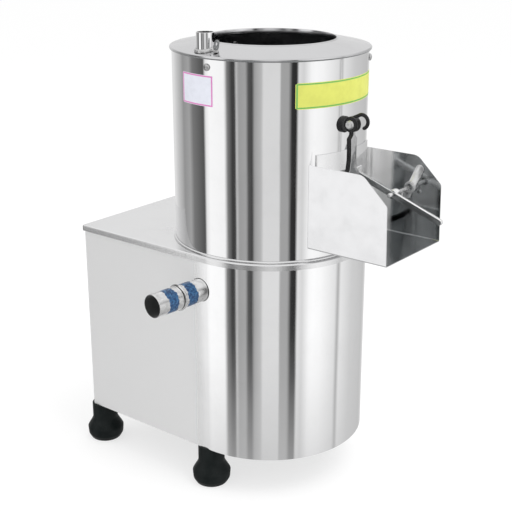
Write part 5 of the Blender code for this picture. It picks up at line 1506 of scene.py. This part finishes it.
@dataclass
class Gate:
    """The curved gate with its hanger, lever bar and sliding bolt."""

    inner: float = 0.1812
    wall: float = 0.0020
    face: float = 0.18355
    half: float = 0.082
    low: float = 0.5035
    top: float = 0.6653
    bar_y: float = 0.026
    bar_start: Point = (0.186, 0.613)
    slope: float = radians(-19.5)
    tip: float = 0.3568
    depth: float = 0.011

    def rolled(self, radius: float, wall: float, middle: float, half: float, low: float, high: float,
               corner: float) -> Mesh:
        """A plate rolled to a radius about the drum's axis, with rounded corners.

        Args:
            radius: Radius of its inner face.
            wall: Its thickness.
            middle: Angle of its middle.
            half: Half its width, measured round the face.
            low: Height of its lower edge.
            high: Height of its upper edge.
            corner: Radius of its corners.

        Returns:
            The plate.
        """
        outer, ease = radius + wall, 0.0004
        ends = [half - corner * (1 - cos(turn)) for turn in (0.25, 0.5, 0.8, 1.1)]
        sections = []
        for across in sorted({*spread(-half, half, 64), *ends, *[-end for end in ends]}):
            drawn = corner_cut(half - abs(across), corner)
            ring = [(outer, high - drawn - ease), (outer - ease, high - drawn), (radius + ease, high - drawn),
                    (radius, high - drawn - ease), (radius, low + drawn + ease), (radius + ease, low + drawn),
                    (outer - ease, low + drawn), (outer, low + drawn + ease)]
            sections.append([polar(reach, middle + across / outer, height) for reach, height in ring])
        return to_mesh(grid(sections, capped=True), sharp=SOFT)

    def cleared(self, mesh: Mesh, radius: float, reach: float, axis: Matrix) -> Mesh:
        """Trims a mesh to the gate's face and drills its bore."""
        return cut(mesh, core(self.face), drill(radius, -reach, reach, axis, 40),
                   sharp=BLUNT)

    def hanger(self) -> Mesh:
        """The polished strap: tongue and eye above, a waist, and a foot spread on the gate.

        Returns:
            The strap.
        """
        x, y, z = PIVOT
        tongue, waist, foot = 0.0031, 0.00875, -0.0885
        flare = foot * 0.76
        right = [(tongue, 0.001, 0), (tongue, -0.0185, 0.0018), (0.0100, -0.0247, 0.003),
                 (waist, (flare - 0.0185) / 2, 0.03), (waist, flare + 0.004, 0.02), (0.0120, foot * 0.925, 0.008),
                 (0.0190, foot + 0.0030, 0.0015), (0.0190, foot - 0.0035, 0.0012)]
        outline = rounded([*right, *[(-across, up, corner) for across, up, corner in reversed(right)]], 6)
        strap = plate([outline], 0.010, move(PIVOT) @ FACING, 0.0013)
        eye = lathe(button(0.0075, -tongue, tongue, 0.0008, 0.0008, 3), PIVOT_AXIS, 48)
        back, front = self.inner - 0.019, x + 0.0025
        shelf = eased(block(((back + front) / 2, y, z + foot), (front - back, 0.038, 0.007)), 0.0012, 3)
        return self.cleared(joined(strap, eye, shelf), PIVOT_BORE, 0.01, PIVOT_AXIS)

    def bolt_axis(self, y: float) -> Matrix:
        """The sliding bolt's axis, from a distance across the machine."""
        z = self.bar_start[1] + (BOLT_X - self.bar_start[0]) * tan(self.slope)
        return move((BOLT_X, y, z)) @ Matrix.Rotation(-pi / 2, 4, "X")

    def bar(self) -> Mesh:
        """The lever bar with its pad and the boss that guides the bolt.

        Returns:
            The bar.
        """
        over, half, pad = 0.004, self.depth / 2, 0.015
        x, z = self.bar_start[0] - over, self.bar_start[1] - over * tan(self.slope)
        length = (self.tip - half - x) / cos(self.slope)
        side = [(-over, half), (-over, -half), *arc((length, 0), half, -pi / 2, pi / 2, 20)]
        turn = move((x, self.bar_y, z)) @ Matrix.Rotation(-self.slope, 4, "Y") @ ON_SIDE
        foot = self.rolled(0.1835, 0.003, self.bar_y / 0.1832, 0.013, self.bar_start[1] - pad,
                           self.bar_start[1] + pad, 0.004)
        axis = self.bolt_axis(self.bar_y)
        guide = [(0, -0.0030), (0.0080, -0.0030), (0.0080, 0.0132), (0.0072, 0.014), (0, 0.014)]
        whole = joined(plate([side], 0.008, turn, 0.0010), foot, lathe(guide, axis, 56))
        return self.cleared(whole, 0.0042, 0.02, axis)

    def bolt(self) -> Mesh:
        """The sliding bolt with its peg and round knob.

        Returns:
            The bolt.
        """
        section = [(0, 0.082), (0.0028, 0.082), (0.0038, 0.0808), (0.0038, 0.0128), (0.0030, 0.012), (0, 0.012)]
        drop, ball = -0.016, 0.0045
        knob = [(0, drop + ball), *[(ball * sin(turn), drop + ball * cos(turn)) for turn in spread(0, pi, 20)[1:-1]],
                (0, drop - ball)]
        place = move(self.bolt_axis(0.058).translation)
        return joined(lathe(section, self.bolt_axis(0), 48),
                      lathe(plug(0.0018, -0.0155, 0.0), place, 32), lathe(knob, place, 40))

    def build(self) -> None:
        """Makes the gate's pieces."""
        half = self.inner * asin(self.half / (self.inner + self.wall))
        leaf = self.rolled(self.inner, self.wall, 0, half, self.low, self.top, 0.0015)
        piece("gate_leaf", leaf, GATE_SHEET, Slot.POLISHED, "gate_plate", body=Body.GATE)
        strap = piece("gate_strap", self.hanger(), STRAP_STEEL, Slot.POLISHED, "gate_hanger", body=Body.GATE,
                      mirrored=False)
        # Painted dark reflection: the strap's side faces take the black iron finish, while its front face stays
        # polished steel.
        second_finish(strap, IRON, lambda middle, normal: abs(normal.x) < 0.6)
        bar = piece("gate_bar", self.bar(), BAR_STEEL, Slot.POLISHED, "lever_bar", body=Body.GATE)
        # Painted shade: the bar's near faces beyond the strap take the darker tap steel.
        second_finish(bar, TAP_STEEL_AND_PAINTED_SHADE, lambda middle, normal: normal.y < -0.5 and middle.x > 0.195)
        piece("sliding_bolt", self.bolt(), LINK_STEEL, Slot.MACHINED, "slide_bolt", body=Body.LATCH)


@dataclass
class Brackets:
    """The black bracket that carries the gate, its pivot bolt, and the keeper on the chute."""

    boss: float = 0.0140
    width: float = 0.014
    finger: float = 0.0033
    curl: float = 0.0120
    bolt_z: float = 0.58839
    keeper_face: float = 0.09005

    def bracket(self) -> Mesh:
        """The cast bracket with its slot and curled finger.

        Returns:
            The bracket.
        """
        half, reach, inner = self.width / 2, self.boss + 0.004, 0.008
        middle = (reach - inner) / 2
        barrel = lathe(button(self.boss, -half, half, 0.0016, 0.0016), PIVOT_AXIS, 72)
        flange = lathe(button(0.0145, 0.166, 0.1877, 0, 0.0025, 5), lying(0, PIVOT[2] - 0.002, (0, PIVOT[1])), 72)
        route = [(0, 0, self.boss - self.finger - 0.001), (0.0050, 0, self.boss - self.finger + 0.0026)]
        route += [(x, 0, z) for x, z in arc((0.0195, 0.0070), self.curl, radians(128), radians(-78), 28)]
        finger = from_curve([route], move(PIVOT), [1.0] * (len(route) - 3) + [0.98, 0.9, 0.7],
                            dimensions="3D", bevel_depth=self.finger, bevel_resolution=8, use_fill_caps=True)
        slot = block(Vector(PIVOT) + Vector((middle, 0, -middle)), (reach + inner, 0.0072, reach + inner))
        return cut(joined(barrel, flange, finger), slot, core(),
                   drill(PIVOT_BORE, -0.03, 0.03, PIVOT_AXIS, 40), sharp=BLUNT)

    def keeper(self) -> Mesh:
        """The keeper: a round eye on a link plate that is fixed inside the chute's far side.

        Returns:
            The keeper.
        """
        thick, rise, back = 0.0062, 0.0363, 0.0169
        axis = move((BOLT_X, self.keeper_face - thick, self.bolt_z)) @ Matrix.Rotation(-pi / 2, 4, "X")
        eye = lathe(button(0.011, 0, thick, 0.0010, 0.0010), axis, 72)
        link = rounded_slot(hypot(back, rise), -0.016, 0.008, 16)
        turn = (move((BOLT_X, self.keeper_face - 0.0014, self.bolt_z))
                @ Matrix.Rotation(-atan2(rise, back), 4, "Y") @ ON_SIDE)
        whole = joined(eye, plate([link], 0.0028, turn, 0.0006))
        return cut(whole, drill(0.0064, -0.01, 0.02, axis, 48), sharp=BLUNT)

    def build(self) -> None:
        """Makes the brackets and the pivot bolt."""
        piece("gate_bracket_cast", self.bracket(), IRON, Slot.IRON, "gate_bracket", mirrored=False)
        piece("keeper_eye", self.keeper(), LINK_STEEL, Slot.IRON, "bolt_keeper")
        seat = self.width / 2 + GAP
        upper = [(0, seat + 0.0050), (0.0055, seat + 0.0050), (0.0070, seat + 0.0040), (0.0075, seat + 0.0028),
                 (0.0075, seat), (0.004, seat)]
        section = [*upper, *[(radius, -height) for radius, height in reversed(upper)]]
        socket = drill(0.0030, seat + 0.0026, seat + 0.008, PIVOT_AXIS, 6)
        bolt = cut(lathe(section, PIVOT_AXIS, 48), socket)
        piece("hinge_bolt", bolt, MACHINED, Slot.POLISHED, "pivot_bolt", mirrored=False)


@dataclass
class Disc:
    """The abrasive peeling disc with its three swells, sweeping blades and polished nut."""

    radius: float = 0.170
    low: float = 0.4793
    high: float = 0.4873
    edge: float = 0.0016
    inner: float = 0.0094
    waves: int = 3
    swell: float = 0.0045
    crown: float = 0.007

    def level(self, radius: float, turn: float) -> float:
        """Height of the disc's upper face at a place, just under its solid's.

        Args:
            radius: The place's distance from the axis.
            turn: Its angle.

        Returns:
            The height.
        """
        share = 1 - (radius - 0.0045) / (self.radius - 0.0045)
        wave = self.swell * sin(pi * min(1.0, share + 0.25)) * (1 + cos(self.waves * turn)) / 2
        return self.high + self.crown * share * share + wave

    def build(self) -> None:
        """Makes the disc and its nut."""
        rim = self.radius - self.edge
        levels = [(self.inner, lambda turn: self.low), (rim, lambda turn: self.low),
                  (self.radius, lambda turn: self.low + self.edge),
                  (self.radius, lambda turn: self.level(self.radius, turn) - self.edge)]
        levels += [(radius, lambda turn, radius=radius: self.level(radius, turn))
                   for radius in spread(rim, self.inner, 20)]
        rows = [[(radius * cos(turn), radius * sin(turn), height(turn)) for turn in circle(144)]
                for radius, height in levels]
        disc = to_mesh(grid(rows, along=True))
        hub = [(self.inner, 0.4833), (0.030, 0.4833), (0.030, 0.4645), (0.0288, 0.4633), (self.inner, 0.4633)]
        blades = [eased(block((side * 0.089, 0, 0.4693), (0.122, 0.004, 0.028)), 0.0008) for side in (-1, 1)]
        disc = joined(disc, lathe(hub, None, 96, ring=True), *blades, sharp=radians(50))
        piece("grit_disc", disc, GRIT, Slot.ABRASIVE, "peeling_disc", body=Body.DISC)
        bore, width, dome = 0.0093, 0.0170, 0.0095
        nut = [(0, 0.008), (bore, 0.008), (bore, 0), (0.0160, 0), (width, 0.0010), (width, 0.0060),
               *[(width * cos(turn), 0.0065 + dome * sin(turn)) for turn in spread(0, pi / 2, 14)[:-1]], (0, 0.016)]
        base = move((0, 0, self.high + self.crown + GAP))
        piece("disc_cap", lathe(nut, base, 96, sharp=radians(40)), POLISHED_PIPE, Slot.POLISHED, "disc_nut",
              body=Body.DISC)


@dataclass
class Controls:
    """The rotary switch and the cable gland on the rear panel."""

    face: float = -0.3187
    seat: float = -0.319

    def at_switch(self, out: float, size: Place, across: float = 0.0, up: float = 0.0) -> Mesh:
        """A block at the switch, with its middle at a distance out from the panel."""
        return block((self.face - GAP - out, SWITCH[0] + across, SWITCH[1] + up), size)

    def build(self) -> None:
        """Makes the switch and the gland."""
        axis = lying(pi, SWITCH[1], (self.face - GAP, SWITCH[0]))
        edge = box_outline(-0.025, -0.025, 0.025, 0.025, 0.006, 0.006, 6)
        middle = move((self.face - GAP - 0.0015, *SWITCH))
        cover = plate([edge], 0.003, middle @ FACING, 0.0009)
        bush = lathe([(0, 0.0015), (0.008, 0.0015), (0.008, 0.0056), (0.0076, 0.006), (0, 0.006)], axis, 48)
        case = eased(self.at_switch(-0.01425, (0.0315, 0.038, 0.038)), 0.0012)
        marks = [self.at_switch(0.003, (0.0008, 0.0035, 0.0012), side * 0.0205) for side in (-1, 1)]
        body = cut(joined(cover, case, bush), *marks, sharp=BLUNT)
        piece("switch_cover", body, PLASTIC, Slot.PLASTIC, "switch_body")
        rows = []
        for level, out, ridge in ((0.0063, 0.0, 0.0), (0.0063, 0.0152, 0.0), (0.0069, 0.0159, 0.0005),
                                  (0.0104, 0.0159, 0.0005), (0.0112, 0.0148, 0.0), (0.0112, 0.0, 0.0)):
            rows.append([polar(out - ridge * (number % 4 // 2), turn, level) for number, turn in enumerate(circle(96))])
        knob = to_mesh(grid(rows), axis, sharp=radians(30))
        knob = joined(knob, eased(self.at_switch(0.0168, (0.0131, 0.008, 0.0312)), 0.0018, 3))
        knob = cut(knob, self.at_switch(0.0232, (0.0008, 0.0014, 0.007), up=0.0105), sharp=BLUNT)
        piece("switch_grip", knob, PLASTIC, Slot.PLASTIC, "switch_knob", body=Body.SWITCH)
        section = [(0.0045, 0.0195), (0.0050, 0.0200), (0.0072, 0.0200), (0.0080, 0.0193), (0.0088, 0.0180),
                   (0.0112, 0.0168), (0.0115, 0.0160), (0.0115, 0.0100), (0.0106, 0.0092), (0.0106, 0.0082),
                   (0.0115, 0.0074), (0.0115, 0.0009), (0.0109, 0.0003), (0.0080, 0.0003), (0.0080, -0.010),
                   (0.0045, -0.010)]
        gland = lathe(section, lying(pi, GLAND[1], (self.seat, GLAND[0])), 48, ring=True)
        piece("gland_body", gland, PLASTIC, Slot.PLASTIC, "cable_gland")


@dataclass
class Drive:
    """What stays as the CAD made it inside the base: the frame, shaft, bearings, pulleys, belt and motor."""

    painted: tuple[str, ...] = ("base_frame", "bearing_housing", "driven_pulley", "motor_body", "fan_cover",
                                "motor_shelf", "terminal_box")
    bare: tuple[str, ...] = ("main_shaft", "upper_bearing", "lower_bearing", "motor_shaft", "motor_pulley")
    rubber: tuple[str, ...] = ("shaft_seal", "v_belt")
    moulded: tuple[str, ...] = ("motor_fan",)

    def build(self) -> None:
        """Gives each node left in view its finish."""
        for names, finish in ((self.painted, PAINT), (self.bare, MACHINED), (self.rubber, RUBBER),
                              (self.moulded, PLASTIC)):
            for name in names:
                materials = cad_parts[name].data.materials
                materials.clear()
                materials.append(made_of(finish))
                log.info("%s: keeps its solid, in %s", name, finish.name)


@dataclass
class Studio:
    """The camera, the floor, the soft lamps and the cards that the steel reflects.

    The cards are bearings, in degrees, and levels, over each half of the ring round the machine.
    """

    eye: Place = (1.19072, -1.50369, 1.10054)
    forward: Place = (-0.58653, 0.74147, -0.32598)
    lens: float = 74.75
    floor_size: float = 30.0
    soft_level: float = 0.92
    near_cards: Cards = (
        (-180, 0.45), (-174, 0.32), (-161, 0.39), (-154, 0.20), (-135.5, 0.09), (-132.5, 0.86), (-127, 1.04),
        (-107, 1.00), (-103, 0.22), (-97, 0.05), (-93.5, 0.06), (-91.5, 0.58), (-88.5, 0.36), (-80.5, 0.40),
        (-77.5, 0.10), (-73, 0.06), (-70, 0.38), (-62.5, 0.52), (-60, 0.74), (-41.5, 0.74), (-40, 0.39),
        (-31.5, 0.39), (-27.5, 0.035), (-22, 0.025), (-19.5, 0.80), (-14, 0.70), (-5, 1.00), (0, 1.04))
    far_cards: Cards = (
        (0, 1.04), (10, 1.00), (32, 0.78), (36.5, 0.42), (41, 0.82), (62, 0.64), (98, 0.55), (120, 0.84), (155, 0.76),
        (180, 0.45))

    def placed(self, name: str, data: ID, place: Place, way: Vector) -> Object:
        """Puts a camera or a lamp at a place, looking along a way.

        Args:
            name: The object's name.
            data: The camera or lamp.
            place: Where it stands.
            way: The direction that it looks along.

        Returns:
            The object.
        """
        obj = linked(name, data)
        obj.location = place
        obj.rotation_euler = way.to_track_quat("-Z", "Y").to_euler()
        return obj

    def camera(self) -> None:
        """Makes the camera at the photograph's angle."""
        data = bpy.data.cameras.new("camera")
        data.lens = self.lens
        data.sensor_width = 36.0
        data.clip_end = 100
        bpy.context.scene.camera = self.placed("camera", data, self.eye, Vector(self.forward))

    def floor(self) -> None:
        """Makes the pale floor, white to the camera except where the object shades it."""
        half = self.floor_size / 2
        mesh = bpy.data.meshes.new("studio_floor")
        mesh.from_pydata([(-half, -half, 0), (half, -half, 0), (half, half, 0), (-half, half, 0)], [], [(0, 1, 2, 3)])
        material = bpy.data.materials.new("pale_floor")
        material.use_nodes = True
        material.node_tree.nodes.clear()
        tree = Tree(material.node_tree)
        paper = tree.out("ShaderNodeBsdfDiffuse", {"Color": grey(0.90)})
        glow = tree.out("ShaderNodeEmission", {"Color": grey(1.0), "Strength": 1.085})
        mixed = tree.out("ShaderNodeMixShader", {0: 0.36, 1: glow, 2: paper})
        seen = tree.add("ShaderNodeLightPath").outputs
        rays = tree.math("MAXIMUM", seen["Is Camera Ray"],
                         tree.math("MAXIMUM", seen["Is Glossy Ray"], seen["Is Transmission Ray"]))
        chosen = tree.out("ShaderNodeMixShader", {0: rays, 1: paper, 2: mixed})
        tree.add("ShaderNodeOutputMaterial", {"Surface": chosen})
        mesh.materials.append(material)
        obj = linked("studio_floor", mesh)
        obj.visible_glossy = False

    def lamps(self) -> None:
        """Makes the soft lamps, which the steel does not show."""
        for name, place, size, watts in (("lamp_above", (1.3, 0.5, 2.8), 2.4, 46),
                                         ("lamp_left", (-2.2, -2.0, 1.9), 1.8, 5),
                                         ("lamp_right", (2.8, -0.6, 1.7), 1.8, 12)):
            data = bpy.data.lights.new(name, "AREA")
            data.shape = "DISK"
            data.size = size
            data.energy = watts
            lamp = self.placed(name, data, place, Vector((0, 0, 0.45)) - Vector(place))
            lamp.visible_glossy = False
            lamp.visible_camera = False

    def ramp(self, tree: Tree, share: NodeSocket, cards: Cards) -> NodeSocket:
        """One half of the ring of cards, as a colour by where a ray points, from 0 to 1 over the half.

        Args:
            tree: The world's tree.
            share: Where the ray points.
            cards: Where each card starts, and its level.

        Returns:
            The colour.
        """
        node = tree.add("ShaderNodeValToRGB", {0: share})
        stops = node.color_ramp.elements
        stops[0].color, stops[1].color = grey(cards[0][1]), grey(cards[-1][1])
        for angle, level in cards[1:-1]:
            stops.new((angle - cards[0][0]) / 180).color = grey(level)
        return node.outputs[0]

    def surround(self) -> None:
        """Makes the world: white to the camera, plain light for matt surfaces, cards for the steel."""
        world = bpy.data.worlds.new("studio")
        bpy.context.scene.world = world
        world.use_nodes = True
        world.node_tree.nodes.clear()
        tree = Tree(world.node_tree)
        way = tree.split(tree.place("Generated"))
        bearing = tree.math("ARCTAN2", way["Y"], way["X"])
        half_turns = tree.math("DIVIDE", bearing, pi)
        near = self.ramp(tree, tree.plus(half_turns, 1.0), self.near_cards)
        far = self.ramp(tree, half_turns, self.far_cards)
        shown = tree.blend(tree.math("GREATER_THAN", bearing, 0.0), near, far)
        rise = tree.math("ARCSINE", way["Z"])
        shown = tree.blend(tree.ranged(rise, radians(-22.0), radians(-36.0), 0.0, 0.95), shown, grey(0.52))
        shown = tree.blend(tree.ranged(rise, radians(12.0), radians(38.0)), shown, grey(0.90))
        seen = tree.add("ShaderNodeLightPath").outputs
        shiny = tree.math("MAXIMUM", seen["Is Glossy Ray"], seen["Is Transmission Ray"])
        shown = tree.blend(shiny, grey(self.soft_level), shown)
        shown = tree.blend(seen["Is Camera Ray"], shown, grey(1.0))
        light = tree.out("ShaderNodeBackground", {"Color": shown, "Strength": 1.0})
        tree.add("ShaderNodeOutputWorld", {"Surface": light})

    def build(self) -> None:
        """Makes the studio."""
        self.camera()
        self.floor()
        self.lamps()
        self.surround()
        bpy.context.scene.view_settings.view_transform = "Standard"


def main() -> None:
    """Builds the studio and the machine, sub-assembly by sub-assembly."""
    logging.basicConfig(level=logging.INFO, format="%(name)s: %(message)s")
    for kind in (Studio, Feet, Base, Drum, Inlet, Drain, Chute, Gate, Brackets, Disc, Controls, Drive):
        log.info("building %s", kind.__name__)
        kind().build()


if __name__ == "__main__":
    main()
